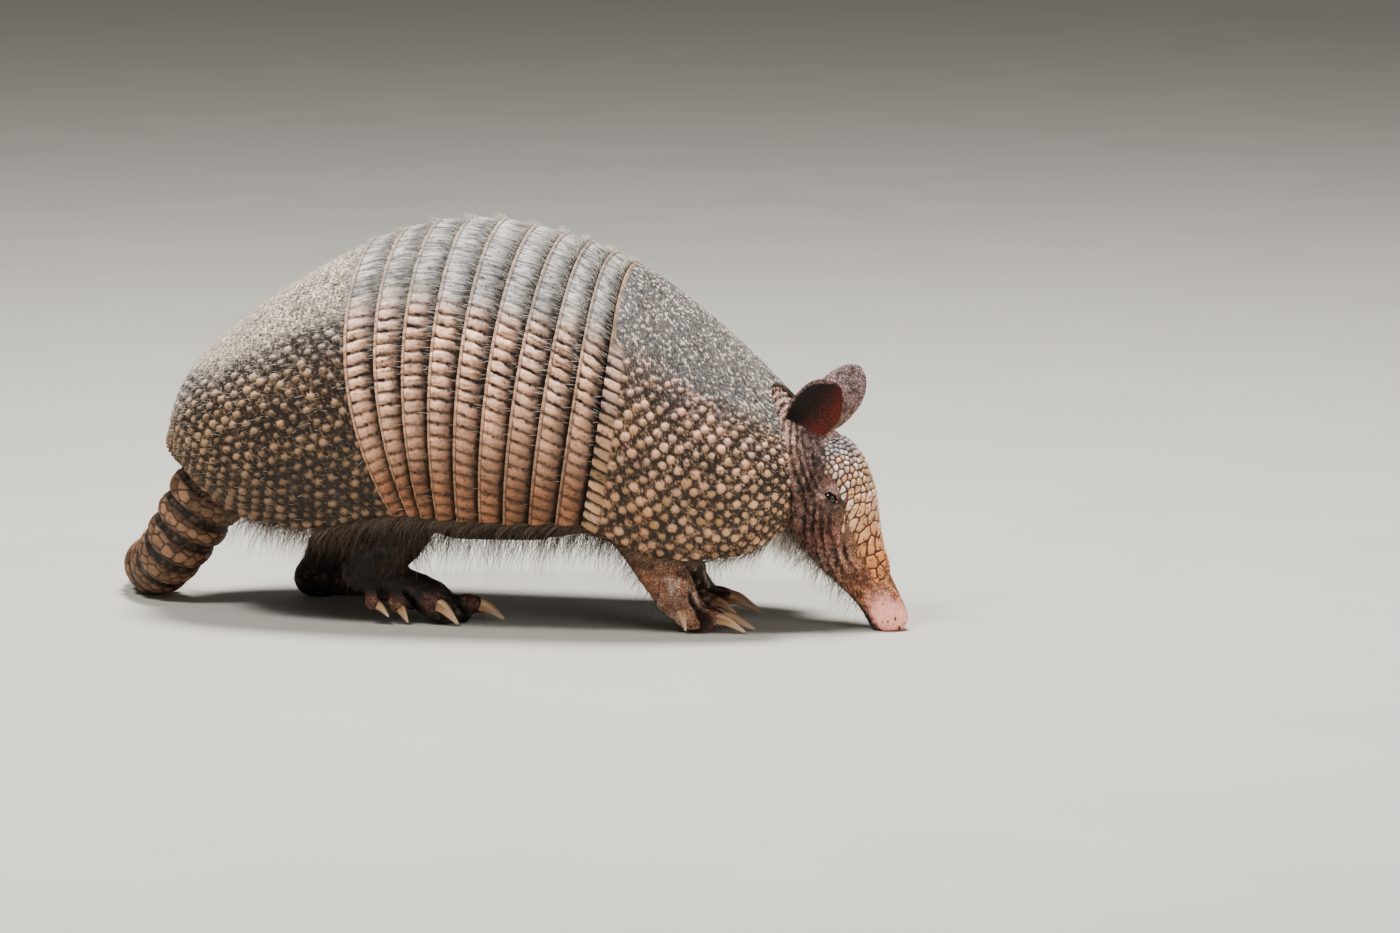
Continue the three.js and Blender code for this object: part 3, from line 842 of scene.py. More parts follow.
@dataclass
class Band(ArmourPiece):
    """One movable band: long tiles side by side, with a pale raised rear rim over the band behind."""

    slot: str = "band"
    finish: Finish = TILE_FINISH
    mesh_mm: float = 0.62
    coarse: tuple[int, int] = (2, 40)
    tile_mm: float = 6.2
    seed: int = 1

    def relief(self, at: Lay) -> tuple[Array, Array]:
        """Pillow-shaped tiles with slanting grooves, finer and flatter over the back.

        Args:
            at: where the vertices lie.

        Returns:
            Height in millimetres and linear colour.
        """
        along, share, out = at.along, at.share, at.out

        def rough(size: float, seed: int) -> Array:
            """Noise over the band, of its own."""
            return noise(at.points, size, self.seed + seed)

        def lines(width: float, length: float, seed: int) -> Array:
            """Noise drawn out from front to rear."""
            return noise(np.stack([along / width, share * length, 0 * share], -1), 1.0, self.seed + seed)

        side = ramp(out + 0.04 * noise(at.points, 18, 6), 0.33, 0.5)
        place = (
            along / self.tile_mm + np.sign(at.v) * (0.26 * share - 0.13)
            + (0.08 * rough(4, 0) + 0.06 * rough(1.3, 2))
        )
        tile = np.floor(place).astype(int)
        pick = scatter(tile, seed=self.seed)
        inside = place - tile
        under = np.where(at.v > 0, inside, 1 - inside)
        across = np.abs(inside - 0.5) * 2
        groove = ramp(across + 0.2 * rough(1.7, 4), 0.55, 0.86)
        streak = 0.5 + 0.5 * lines(0.5, 2.4, 9)
        body = ramp(share, 0.02, 0.5) * ramp(share, 0.93, 0.86)
        pillow = (1 - across**3) * (0.4 + 0.85 * share)
        height = side * (1.55 * pillow * body) + (1 - side) * 0.6 * streak * body
        bead = 0.5 + 0.5 * lines(1.3, 0, 12)
        rim = ramp(share, 0.9, 0.93)
        height += -1.0 * ramp(share, 0.3, 0.0) + rim * (0.35 + 0.75 * bead)
        height += 0.22 * rough(1.6, 3) + 0.2 * side * (streak - 0.5)
        # Painted shade and light: each band is darkest at its front, in the shade of the band ahead, and
        # lightest at its rear, and each tile on the sides is darker on its lower side; each band also gets a
        # random tone of its own.
        front = 0.5 - 0.34 * ramp(out, 0.8, 0.6)
        lit = front + (1.3 - front) * ramp(share + 0.1 * rough(5, 6), 0.12, 0.72)
        lit = lit * (0.88 + 0.22 * scatter(np.array(self.seed), seed=5) + 0.12 * rough(24, 10))
        top = tan_by_height(at) * (lit * (1.06 - 0.42 * side * ramp(under, 0.3, 0.95)))[..., None]
        top = top * (0.92 + 0.36 * pick + 0.5 * (streak - 0.5))[..., None]
        # Some tiles turn pale pearl on the upper side, most towards the band's rear: partly their own tone,
        # partly a painted highlight.
        top = blend(top, PIGMENTS.pearl, 0.5 * ramp(pick, 0.5, 1.0) * ramp(out, 0.72, 0.5) * share)
        dark = (
            side * groove * (0.75 + 0.25 * ramp(rough(3.0, 7), -0.5, 0.2))
            * (1 - 0.4 * ramp(out, 0.6, 0.85))
        )
        for darker in (
            0.6 * side * ramp(lines(0.9, 3, 14), 0.25, 0.7) * ramp(out, 0.8, 0.55),
            (1 - side) * 0.72 * ramp(streak, 0.6, 0.25),
            # Painted shade: near-black over the front of the band, under the rim of the band ahead, and a
            # dark line in the dip just in front of the rim.
            0.97 * ramp(share + 0.07 * rough(2.0, 8), 0.24, 0.03),
            0.85 * ramp(share, 0.845, 0.87) * (1 - rim),
        ):
            dark = np.maximum(dark, darker)
        speckle = ramp(rough(0.9, 5), 0.2, 0.7)
        pale = blend(PIGMENTS.rim, tan_by_height(at), 0.5) * (0.35 + 0.75 * bead + 0.15 * pick)[..., None]
        return height, layered(
            top,
            (PIGMENTS.groove, np.clip(dark + 0.45 * speckle, 0, 1)),
            (pale, 0.9 * rim * ramp(bead, 0.0, 0.35)),
        )


@dataclass
class Shield(ArmourPiece):
    """A rigid shield: round scutes in staggered rows along the ribs, ringed by small granules.

    row_mm is the distance between rows, pitch that between scutes in a row, radius a scute's, stretch how
    much longer than high a scute is, dome its height and tooth_mm the width of the wedges along the
    margins.
    """

    row_mm: float = 4.15
    pitch: float = 9.2
    radius: float = 2.2
    stretch: float = 1.0
    dome: float = 1.2
    granule_mm: float = 1.6
    tooth_mm: float = 0.0
    seed: int = 40
    coarse: tuple[int, int] = (12, 40)

    def margins(self, at: Lay) -> Array:
        """How close-packed the scutes are, from 0 to 1."""
        raise NotImplementedError

    def tint(self, at: Lay, pick: Array) -> Array:
        """Colour of the tops of the scutes."""
        raise NotImplementedError

    def swell(self, at: Lay) -> Array:
        """Size of the round scutes, from 0 on the back to 1 on the side."""
        raise NotImplementedError

    def larger(self, at: Lay) -> Array:
        """How much larger the scutes are towards an edge."""
        raise NotImplementedError

    def upper_tint(self, at: Lay, pick: Array) -> Array:
        """Grey granules of the back, with a few white ones and odd rusty ones.

        Args:
            at: where the vertices lie.
            pick: random number of each granule.

        Returns:
            Linear colours.
        """
        rusty = 0.6 * ramp(pick, 0.03, 0.0) + 0.15 * ramp(noise(at.points, 14, 19), 0.2, 0.8)
        grey = blend(PIGMENTS.back * 0.55, PIGMENTS.back, pick)
        return layered(grey, (PIGMENTS.pearl * 1.3, ramp(pick, 0.8, 0.84)), (PIGMENTS.rust, rusty))

    def relief(self, at: Lay) -> tuple[Array, Array]:
        """Domes on a staggered grid, with granules between them, and close tiles along the margins.

        A dome is the square root of one minus the squared distance over its radius. A tile rises with the
        difference between the distances to the two nearest centres.

        Args:
            at: where the vertices lie.

        Returns:
            Height in millimetres and linear colour.
        """
        points, share, along, per_u = at.points, at.share, at.along, at.per_u
        ribs = at.u[:, 0]
        line = CARAPACE.point(ribs, np.array(0.6))
        run = np.concatenate([[0], np.cumsum(np.linalg.norm(np.diff(line, axis=0), axis=1))])
        half = np.abs(along).max(axis=1, keepdims=True)
        lean = along / half * np.gradient(half, ribs, axis=0)
        step = np.sqrt(per_u**2 + lean**2 + 2 * lean * per_u * at.skew)
        tilt = (per_u * at.skew + lean) / step
        squeeze = step / np.gradient(run, ribs)[:, None]
        run = run[:, None] + 0 * at.v
        pitch = half / (half.mean() / self.pitch)
        ratio = self.row_mm * squeeze / pitch / self.stretch
        near, second, pick = scutes(run / self.row_mm, along / pitch, ratio, 0.2, self.seed, tilt)
        near, second = near * pitch, second * pitch
        room = np.minimum(squeeze, pitch / self.pitch)
        swell, packed = self.swell(at), self.margins(at)
        radius = self.radius * (0.82 + 0.36 * pick) * (0.25 + 0.75 * swell) * self.larger(at) * room
        near = near + 0.25 * noise(points, 1.5, self.seed + 9)
        dome = np.sqrt(np.clip(1 - (near / radius) ** 2, 0, 1))
        tile = ramp(second - near, 0.2, 1.7)
        slope = np.gradient(dome, axis=1) * np.sign(at.v)
        if self.tooth_mm:
            tooth = along / self.tooth_mm + 0.05 * noise(points, 3, self.seed + 5)
            inside = np.abs(tooth - np.floor(tooth) - 0.5) * 2
            tile = tile + (ramp(inside + 0.3 * ramp(share, 0.97, 1.0), 0.95, 0.6) - tile) * packed
            pick = np.where(packed > 0.5, scatter(np.floor(tooth), seed=self.seed + 6), pick)
            near = near + (self.pitch * 0.25 * inside - near) * packed
        small = self.granule_mm
        grain, grain_next, grain_pick = scutes(
            run / (0.9 * small), along / pitch * self.pitch / small, 0.9 * squeeze * self.pitch / pitch, 0.6,
            self.seed + 7, tilt,
        )
        granule = ramp(grain_next - grain, 0.0, 0.45)
        middle = 1 - near / self.pitch
        round_height = self.dome * 1.25 * dome * (0.3 + 0.7 * swell) + 0.55 * granule * (1 - dome)
        height = round_height * (1 - packed) + packed * (1.1 * tile + 0.5 * ramp(middle, 0.4, 1))
        height += 0.14 * noise(points, 1.7, self.seed + 2)
        top = self.tint(at, pick)
        ground = blend(PIGMENTS.ground, top, granule * (0.1 + 0.75 * ramp(grain_pick, 0.35, 1.0)))
        upper = blend(PIGMENTS.ground, self.upper_tint(at, grain_pick), granule * (0.5 + 0.5 * grain_pick))
        # Painted light and shade: each dome is lighter towards its top and on its upper side and darker on
        # its lower side; the close tiles of the margins darken towards their edges.
        lit = (0.62 + 0.5 * dome) * np.clip(1 + 0.8 * slope, 0.55, 1.3)
        shaded = top * (0.45 + 0.6 * ramp(middle, 0.55, 0.95))[..., None]
        dirt = ramp(noise(points, 1.0, self.seed + 3) + 0.6 * noise(points, 7, self.seed + 4), 0.3, 0.9)
        rim = ramp(share, 0.978, 0.99) * np.sign(self.lip) * ramp(at.out, 0.5, 0.4)
        height = height * (1 - rim) + 0.6 * rim * (1 + 0.3 * noise(points, 1.6, 4))
        pale = PIGMENTS.rim * (0.7 + 0.5 * noise(points, 1.8, 17))[..., None]
        return height, layered(
            upper,
            (ground, ramp(swell, 0.1, 0.85)),
            (top * lit[..., None], ramp(dome, 0.15, 0.6) * (0.2 + 0.8 * swell)),
            (blend(PIGMENTS.groove, shaded, tile), packed),
            (PIGMENTS.ground, 0.75 * dirt),
            (pale, 0.8 * rim),
        )


@dataclass
class ShoulderShield(Shield):
    """The shield over the shoulders, with a row of wedge scutes along its rear margin."""

    mesh_mm: float = 0.66
    radius: float = 2.1
    tooth_mm: float = 5.8

    def larger(self, at: Lay) -> Array:
        """Hardly larger towards the lower edge."""
        return 1 + 0.06 * ramp(at.out, 0.6, 0.95)

    def margins(self, at: Lay) -> Array:
        """Close-packed along the rear margin."""
        return ramp(at.share, 0.92, 0.94) * ramp(at.out, 0.38, 0.5)

    def swell(self, at: Lay) -> Array:
        """Full on the side, small high on the shoulder."""
        return ramp(at.out, 0.34, 0.58)

    def tint(self, at: Lay, pick: Array) -> Array:
        """Cream and tan scutes, the lower ones darker.

        Args:
            at: where the vertices lie.
            pick: random number of each scute.

        Returns:
            Linear colours.
        """
        cream = blend(PIGMENTS.pearl, PIGMENTS.flank, 0.3 + 0.5 * pick)
        low = blend("#dcb892", "#c08e66", 0.3 + 0.6 * noise(at.points, 9, 23))
        other = scatter(np.floor(pick * 999), seed=6)
        top = layered(cream, (low, ramp(at.out, 0.5, 0.85)), ("#9a7f4c", 0.5 * ramp(other, 0.7, 0.8)))
        lit = (0.7 + 0.55 * pick) * (1 - 0.16 * ramp(at.out, 0.6, 0.95))
        return top * [0.86, 0.76, 0.71] * lit[..., None]


@dataclass
class PelvicShield(Shield):
    """The shield over the rump: smaller, olive scutes in clear rows, rusty along the rear lower margin."""

    row_mm: float = 4.0
    pitch: float = 9.0
    radius: float = 1.8
    stretch: float = 1.25
    granule_mm: float = 1.5
    mesh_mm: float = 0.76
    lip: float = 0.0

    def swell(self, at: Lay) -> Array:
        """Full on the side and rear, small over the top."""
        return ramp(at.out + 0.35 * ramp(at.share, 0.45, 0.9), 0.28, 0.5)

    def larger(self, at: Lay) -> Array:
        """Larger towards the lower and rear edges."""
        return 1 + 0.2 * np.maximum(ramp(at.out, 0.75, 0.95), ramp(at.share, 0.6, 0.92))

    def margins(self, at: Lay) -> Array:
        """Close-packed along the rear margin."""
        return ramp(at.share, 0.93, 0.965)

    def tint(self, at: Lay, pick: Array) -> Array:
        """Pale and dusty above, olive on the side, rust towards the tail."""
        side = at.out + 0.05 * noise(at.points, 25, 8)
        return layered(
            PIGMENTS.pearl * 1.1,
            (PIGMENTS.olive, ramp(side, 0.32, 0.56)),
            (PIGMENTS.olive * 0.46, ramp(side, 0.6, 0.92)),
            (PIGMENTS.rust, 0.8 * ramp(at.share + 0.3 * ramp(side, 0.8, 1.0), 0.8, 1.05)),
        ) * (0.4 + 0.56 * pick)[..., None]

    def upper_tint(self, at: Lay, pick: Array) -> Array:
        """Dusty cream granules of the rump's top, the palest brighter than white: a painted highlight."""
        return blend(PIGMENTS.pearl * 0.9, PIGMENTS.pearl * [2.1, 1.9, 1.65], pick)


# ---------------------------------------------------------------- head plates and tail


@dataclass
class HeadShield:
    """The bony plates over the forehead: small by the ears, large and polygonal half way down.

    reach is the share of the head they cover and span the angles round it in degrees. The plates' size
    follows sizes, in millimetres, evenly along the reach.
    """

    reach: tuple[float, float] = (0.018, 0.62)
    span: tuple[float, float] = (-14.0, -166.0)
    sizes: tuple[tuple[float], ...] = ((2.3,), (3.0,), (3.9,), (5.2,), (6.6,), (6.4,), (4.2,))
    height: float = 1.0
    rows: int = 192
    columns: int = 192

    def build(self) -> None:
        """Makes the plates: polygons with flat tops, from the distances to the two nearest centres.

        Row numbers come from adding up length over plate size, so that plates grow along the head. The
        sheet's edges sink under the skin.
        """
        t, degrees = np.meshgrid(
            np.linspace(*self.reach, self.rows + 1), np.linspace(*self.span, self.columns + 1), indexing="ij"
        )
        angle = np.radians(degrees)
        share = (t - self.reach[0]) / (self.reach[1] - self.reach[0])
        points = HEAD.point(t, angle)
        size = curve(self.sizes, share)[..., 0]
        steps = np.linalg.norm(np.diff(points, axis=0), axis=-1)
        steps = np.concatenate([np.zeros((1, self.columns + 1)), steps])
        row = np.cumsum((steps / size)[:, [self.columns // 2]], axis=0) / 1.08
        _, _, _, _, wide, deep = HEAD.frame(t)
        along = (angle + np.pi / 2) * (wide + deep) / 2
        near, second, pick = scutes(row * np.ones_like(t), along / size, 1.08, 0.62, 11)
        warp = 0.05 * noise(points, 1.6, 5)
        high = 1 - ramp(share, 0.2, 0.5)
        tile = ramp((second - near + warp) / (1 + high), 0.02, 0.24)
        ragged = 0.05 * (pick - 0.5) + 0.02 * noise(points, 3, 8)
        edge = ramp(1 - np.abs(2 * share - 1) + ragged, 0.02, 0.07 + 0.16 * ramp(share, 0.6, 0.9))
        reach = 64 + 11 * (1 - ramp(share, 0.08, 0.34))
        edge = edge * ramp(1 - np.abs(degrees + 90) / reach + 1.6 * ragged, 0.04, 0.11)
        crown = ramp(1 - near, 0.3, 1.0)
        height = 0.7 + self.height * tile * (0.75 + 0.25 * crown) + 0.1 * noise(points, 1.5, 2)
        outer = HEAD.point(t, angle, height * edge - 0.8 * (1 - edge))
        chart = np.stack([(degrees - self.span[0]) / (self.span[1] - self.span[0]), share], -1)
        paint = self.colour(share, tile, pick, points)
        a, b = np.meshgrid(
            np.linspace(*self.reach, 9), np.radians(np.linspace(*self.span, 9)), indexing="ij"
        )
        inner = HEAD.point(a, b, -1.4)
        surface = closed_sheet(outer, inner, chart)
        under = np.broadcast_to(PIGMENTS.groove, (inner.shape[0] * inner.shape[1], 3))
        surface.make(
            "head_shield_plates", PLATE_FINISH, np.concatenate([paint.reshape(-1, 3), under]),
            "head_plates", ["head_shield"],
        )

    def colour(self, share: Array, tile: Array, pick: Array, points: Array) -> Array:
        """Grey-blue by the ears, cream over the brow and orange-brown below, with brown seams.

        Args:
            share: place along the plates.
            tile: how far a point lies inside its plate, 0 to 1.
            pick: random number of each plate.
            points: places.

        Returns:
            Linear colours.
        """
        place = share + 0.07 * noise(points, 12, 21)
        other = scatter(np.floor(pick * 999), seed=3)
        high = ramp(place, 0.5, 0.26)
        top = layered(
            "#a59a98",
            ("#f0bd8e", ramp(place, 0.08, 0.3)),
            ("#e8955a", ramp(place, 0.4, 0.9)),
            ("#bd7448", 0.65 * ramp(other, 0.72, 0.8) * ramp(place, 0.08, 0.2) * (0.35 + 0.65 * high)),
            ("#fff0e0", 0.7 * ramp(pick, 0.45, 0.8) * ramp(place, 0.0, 0.2) * ramp(place, 0.6, 0.34)),
        )
        # Each plate darkens towards its edges, painted shade where it slopes into the seams; its brightness
        # also varies at random from plate to plate.
        top = top * ((0.8 - 0.3 * high + (0.5 + 0.45 * high) * other) * (0.6 + 0.45 * tile))[..., None]
        seam = blend("#2b2223", "#5a2c16", ramp(place, 0.1, 0.5))
        spot = ramp(noise(points, 1.1, 31) + 0.5 * noise(points, 5, 32), 0.22, 0.7) * 0.75
        return blend(blend(seam, top, tile), seam, spot)


@dataclass
class TailArmour:
    """The tail: rings of armour that shrink towards a tip with small scales, lying on the floor."""

    rings: int = 12
    ringed: float = 0.62
    rows: int = 640
    columns: int = 108
    scutes_around: int = 15

    def build(self) -> None:
        """Makes the tail: its tube moved out by a ring profile and two rows of scutes a ring.

        A ring bulges like half an ellipse over two rows of large joined scutes; in front of them lies a
        dark sunken belt of small ones. What lies under the floor is pressed flat to it.
        """
        t, angle = np.meshgrid(np.linspace(0.0, 1.0, self.rows), circle(self.columns), indexing="ij")
        points = TAIL.point(t, angle)
        ring = t / self.ringed * self.rings
        number = np.floor(ring)
        share = ring - number
        ringed = 1 - ramp(t, self.ringed - 0.01, self.ringed + 0.05)
        round_place = angle / (2 * np.pi) * self.scutes_around + 0.5 * (number % 2)
        start = 0.34 + 0.04 * noise(points, 5, 72)
        rear = np.clip((share - start) / (1 - start), 0, 1)
        big, big_next, pick = scutes(rear * 2 + number * 7, round_place, 0.75, 0.45, 52)
        plate = ramp(big_next - big, 0.02, 0.2)
        large = plate * ramp(share - start, -0.01, 0.05)
        bulge = np.sqrt(np.clip(1 - (2 * rear - 1) ** 2, 0, 1)) * (share > start)
        near, second, small_pick = scutes(share * 5 + number * 7, round_place * 3, 0.9, 0.5, 51)
        small = ramp(second - near, 0.0, 0.35) * (1 - ramp(share - start, -0.01, 0.03))
        near, second, tip_pick = scutes(t * 110, angle / (2 * np.pi) * 14, 0.9, 0.35, 61)
        tip = ramp(second - near, 0.0, 0.3)
        fade = 0.35 + 0.65 * (1 - t)
        stair = -2.0 + 0.7 * share + 1.7 * bulge
        height = (
            ringed * fade * (stair + 0.5 * large + 0.35 * small) + (1 - ringed) * (0.35 * tip - 0.3) * fade
        )
        height += 0.1 * noise(points, 2.0, 71)
        outer = TAIL.point(t, angle, height)
        outer[..., 2] = np.maximum(outer[..., 2], 0.0)
        surface = closed_tube(outer, flip=True)
        ground = blend("#140d09", "#5b4436", small * ramp(small_pick, 0.3, 1.0))
        # Painted light and shade: each ring is lightest on the crest of its bulge and darker on its slopes;
        # the scutes vary at random in tone.
        top = blend("#5e3d29", "#a27b5b", pick) * (0.33 + 0.6 * bulge)[..., None]
        top = blend(
            top, "#3a2416", 0.55 * ramp(noise(points, 3.2, 73) + 0.4 * noise(points, 1.2, 74), 0.1, 0.7)
        )
        ringed_colour = blend(ground, blend("#2a1810", top, plate), ramp(share - start, -0.01, 0.04))
        colour = layered(
            blend("#3d2f25", blend("#7c644c", "#9c8367", tip_pick), tip),
            (ringed_colour, ringed),
            ("#2a1f18", ringed * ramp(share, 0.95, 1.0) * 0.8),
        )
        poles = np.broadcast_to(linear("#6b5744"), (2, 3))
        surface.make(
            "tail_armour", SCUTE_FINISH, np.concatenate([colour.reshape(-1, 3), poles]), "tail_rings",
            ["tail_rings_1", "tail_rings_2", "tail_rings_3", "tail_taper", "tail_tip"],
        )


# ---------------------------------------------------------------- limbs


@dataclass
class Digit:
    """A toe and the claw in its end, through a root, a knuckle and a tip, of given thickness."""

    root: Array
    knuckle: Array
    tip: Array
    thick: float
    claw: float

    def toe(self) -> Tube:
        """Shapes the toe.

        Returns:
            A tube from the root to the knuckle.
        """
        near = self.root * 0.4 + self.knuckle * 0.6
        sizes = ((self.root, 1.0, 1.0), (near, 1.0, 0.95), (self.knuckle, 0.85, 0.85))
        return Tube(tuple((*p, w * self.thick, d * self.thick) for p, w, d in sizes))

    def nail(self) -> Tube:
        """Shapes the claw.

        Returns:
            A tube that arches from inside the knuckle to the tip.
        """
        arch = (self.knuckle + self.tip) / 2 + [0, 0, 0.45 * self.claw]
        heel = self.knuckle * 1.25 - arch * 0.25
        start = self.knuckle * 0.6 + arch * 0.4
        sizes = ((heel, 0.85, 0.8), (start, 1.0, 0.95), (arch, 0.8, 0.78), (self.tip, 0.16, 0.18))
        return Tube(tuple((*p, w * self.claw, d * self.claw) for p, w, d in sizes))


@dataclass
class Limb:
    """A leg: a tube down to the ankle or wrist, a foot, and its digits."""

    name: str
    upper: Tube
    foot: Tube
    digits: list[Digit]

    def build_claws(self) -> None:
        """Makes the leg's claws as one piece.

        Each is its tube with a sharper ridge above and a flatter underside: the height over the tube's
        surface is a small share of the radius times the sine of the angle, with fine grooves along it.
        """
        rows, columns = 44, 26
        points, patches, colours, used = [], [], [], 0
        t, angle = np.meshgrid(np.linspace(0, 1, rows), circle(columns), indexing="ij")
        for number, digit in enumerate(self.digits):
            nail = digit.nail()
            _, _, _, deep, wide, _ = nail.frame(t)
            top = np.sin(angle) * np.sign(deep[..., 2])
            grow = wide * (
                0.06 + 0.09 * ramp(top, 0.6, 1.0) - 0.16 * ramp(-top, 0.35, 1.0) - 0.05 * (1 - np.abs(top))
            )
            grow += 0.05 * np.cos(angle * 9 + number) * (1 - t)
            shell = nail.point(t, angle, grow)
            shell[..., 2] = np.maximum(shell[..., 2], 0.05)
            claw = closed_tube(shell, flip=True)
            points.append(claw.points)
            patches += [Patch(p.corners + used, p.unwrap) for p in claw.patches]
            grain = noise(
                np.stack([np.cos(angle) * 2.4, np.sin(angle) * 2.4, t * 2 + 5 * number], -1), 1.0, 78
            )
            tone = layered(
                blend("#4a2e1e", "#bd8f62", ramp(t + 0.1 * noise(shell, 3, 77), 0.2, 0.5)),
                ("#e8cdaa", 0.75 * ramp(t, 0.55, 1.0)),
                ("#5e3a20", 0.75 * ramp(grain, -0.05, 0.6) * (1 - t) ** 0.4),
                ("#f0dcc0", 0.4 * ramp(-grain, 0.1, 0.6)),
            )
            colours += [tone.reshape(-1, 3), np.stack([tone[0, 0], tone[-1, 0]])]
            used += len(claw.points)
        nodes = [f"{self.name.replace('leg', 'claw')}_{i + 1}" for i in range(len(self.digits))]
        surface = Surface(np.concatenate(points), patches)
        surface.make(
            self.name.replace("leg", "claws"), HORN_FINISH, np.concatenate(colours), "claw", nodes
        )


def foreleg(side: Side, wrist: float) -> Limb:
    """A foreleg; wrist is the x of the wrist, and everything in front of it moves along.

    Args:
        side: side of the animal.
        wrist: x of the wrist joint.

    Returns:
        The leg.
    """

    def at(x: float, y: float, z: float) -> Array:
        """A place beside the wrist."""
        return np.array([wrist + x, side.value * y, z])

    upper = Tube((
        (*at(-14, 34, 84), 14, 18), (*at(-15, 37, 56), 14.5, 17), (*at(-8, 36, 36), 12, 13),
        (*at(1, 34, 20), 10, 11),
    ))
    foot = Tube((
        (*at(0, 34, 22), 9.8, 10.2), (*at(5, 33.5, 13.5), 11, 9.5), (*at(12, 33, 7.2), 12.3, 7.9),
        (*at(18, 32.5, 5), 10.3, 5.6),
    ))
    digits = [
        Digit(at(10, 25, 8), at(17, 22.5, 7), at(31, 20, 1), 4.4, 2.7),
        Digit(at(12, 30, 7.5), at(21, 29.5, 8), at(42, 28.5, 1), 5, 3.3),
        Digit(at(12, 36, 7.5), at(20, 37, 8), at(39, 38.5, 1), 4.9, 3.2),
        Digit(at(2, 39, 16.5), at(5, 43, 15.3), at(9.5, 45.5, 1.8), 4.3, 2.8),
    ]
    return Limb(f"foreleg_{side.name.lower()}", upper, foot, digits)


def hindleg(side: Side, hip: tuple, knee: tuple, ankle: tuple, ball: float) -> Limb:
    """A hind leg from its hip, knee and ankle and the x of the ball of its foot.

    Args:
        side: side of the animal.
        hip: x, distance from the median plane and z of the hip.
        knee: the same of the knee.
        ankle: the same of the ankle.
        ball: x of the ball of the foot.

    Returns:
        The leg.
    """
    mirror = np.array([1, side.value, 1])
    hip, knee, ankle = (np.array(p) * mirror for p in (hip, knee, ankle))

    def at(x: float, y: float, z: float) -> Array:
        """A place beside the ball of the foot."""
        return np.array([ball + x, side.value * y, z])

    instep = 9.3 + 0.15 * ankle[2]
    upper = Tube((
        (*hip, 15, 25), (*((hip + knee) / 2), 16.5, 24), (*knee, 14, 17),
        (*(0.45 * knee + 0.55 * ankle), 12.5, 15), (*ankle, 9.5, 10.5),
    ))
    foot = Tube((
        (*(ankle - [4, 0, 0]), 8.5, 9.8), (*((ankle + at(-9, 35, instep)) / 2), 10.5, 9.8),
        (*at(-9, 35, instep), 12.5, 9.8), (*at(-1, 32, 7), 11.5, 8.2), (*at(6, 29.5, 5.2), 8.5, 6.4),
    ))
    heel_toe = np.array([ankle[0] + 4, side.value * 43, ankle[2] - 2])
    digits = [
        Digit(at(-2, 25, 8), at(6, 21.5, 7), at(17, 19, 1), 4.4, 2.8),
        Digit(at(3, 29, 9), at(11, 27, 9.5), at(28, 24.5, 1.2), 5.2, 3.8),
        Digit(at(-14, 37, 11), at(-6, 42.5, 12), at(9, 46, 1.4), 5.2, 3.7),
        Digit(at(-23, 41.5, instep), at(-24.5, 44.5, 10), at(-17.5, 46.5, 1.4), 4.6, 2.9),
        Digit(heel_toe, at(-36, 47, 11), at(-27, 49, 4.5), 4, 2.5),
    ]
    return Limb(f"hindleg_{side.name.lower()}", upper, foot, digits)


LIMBS = (
    foreleg(Side.RIGHT, 99),
    foreleg(Side.LEFT, 90),
    hindleg(Side.RIGHT, (-68, 36, 84), (-45, 39, 49), (-62, 37, 26), -20),
    hindleg(Side.LEFT, (-88, 36, 84), (-84, 38, 52), (-108, 36, 10), -66),
)


# ---------------------------------------------------------------- skin


def stretched(pieces: Sequence[tuple[float, float]], start: float) -> Array:
    """Grid lines from start through ends, each stretch divided into steps of about its own size.

    Args:
        pieces: end and step of each stretch.
        start: first grid line.

    Returns:
        Coordinates of all the grid lines.
    """
    lines = [np.array([start])]
    for end, step in pieces:
        count = int(np.ceil((end - lines[-1][-1]) / step))
        lines.append(np.linspace(lines[-1][-1], end, count + 1)[1:])
    return np.concatenate(lines)


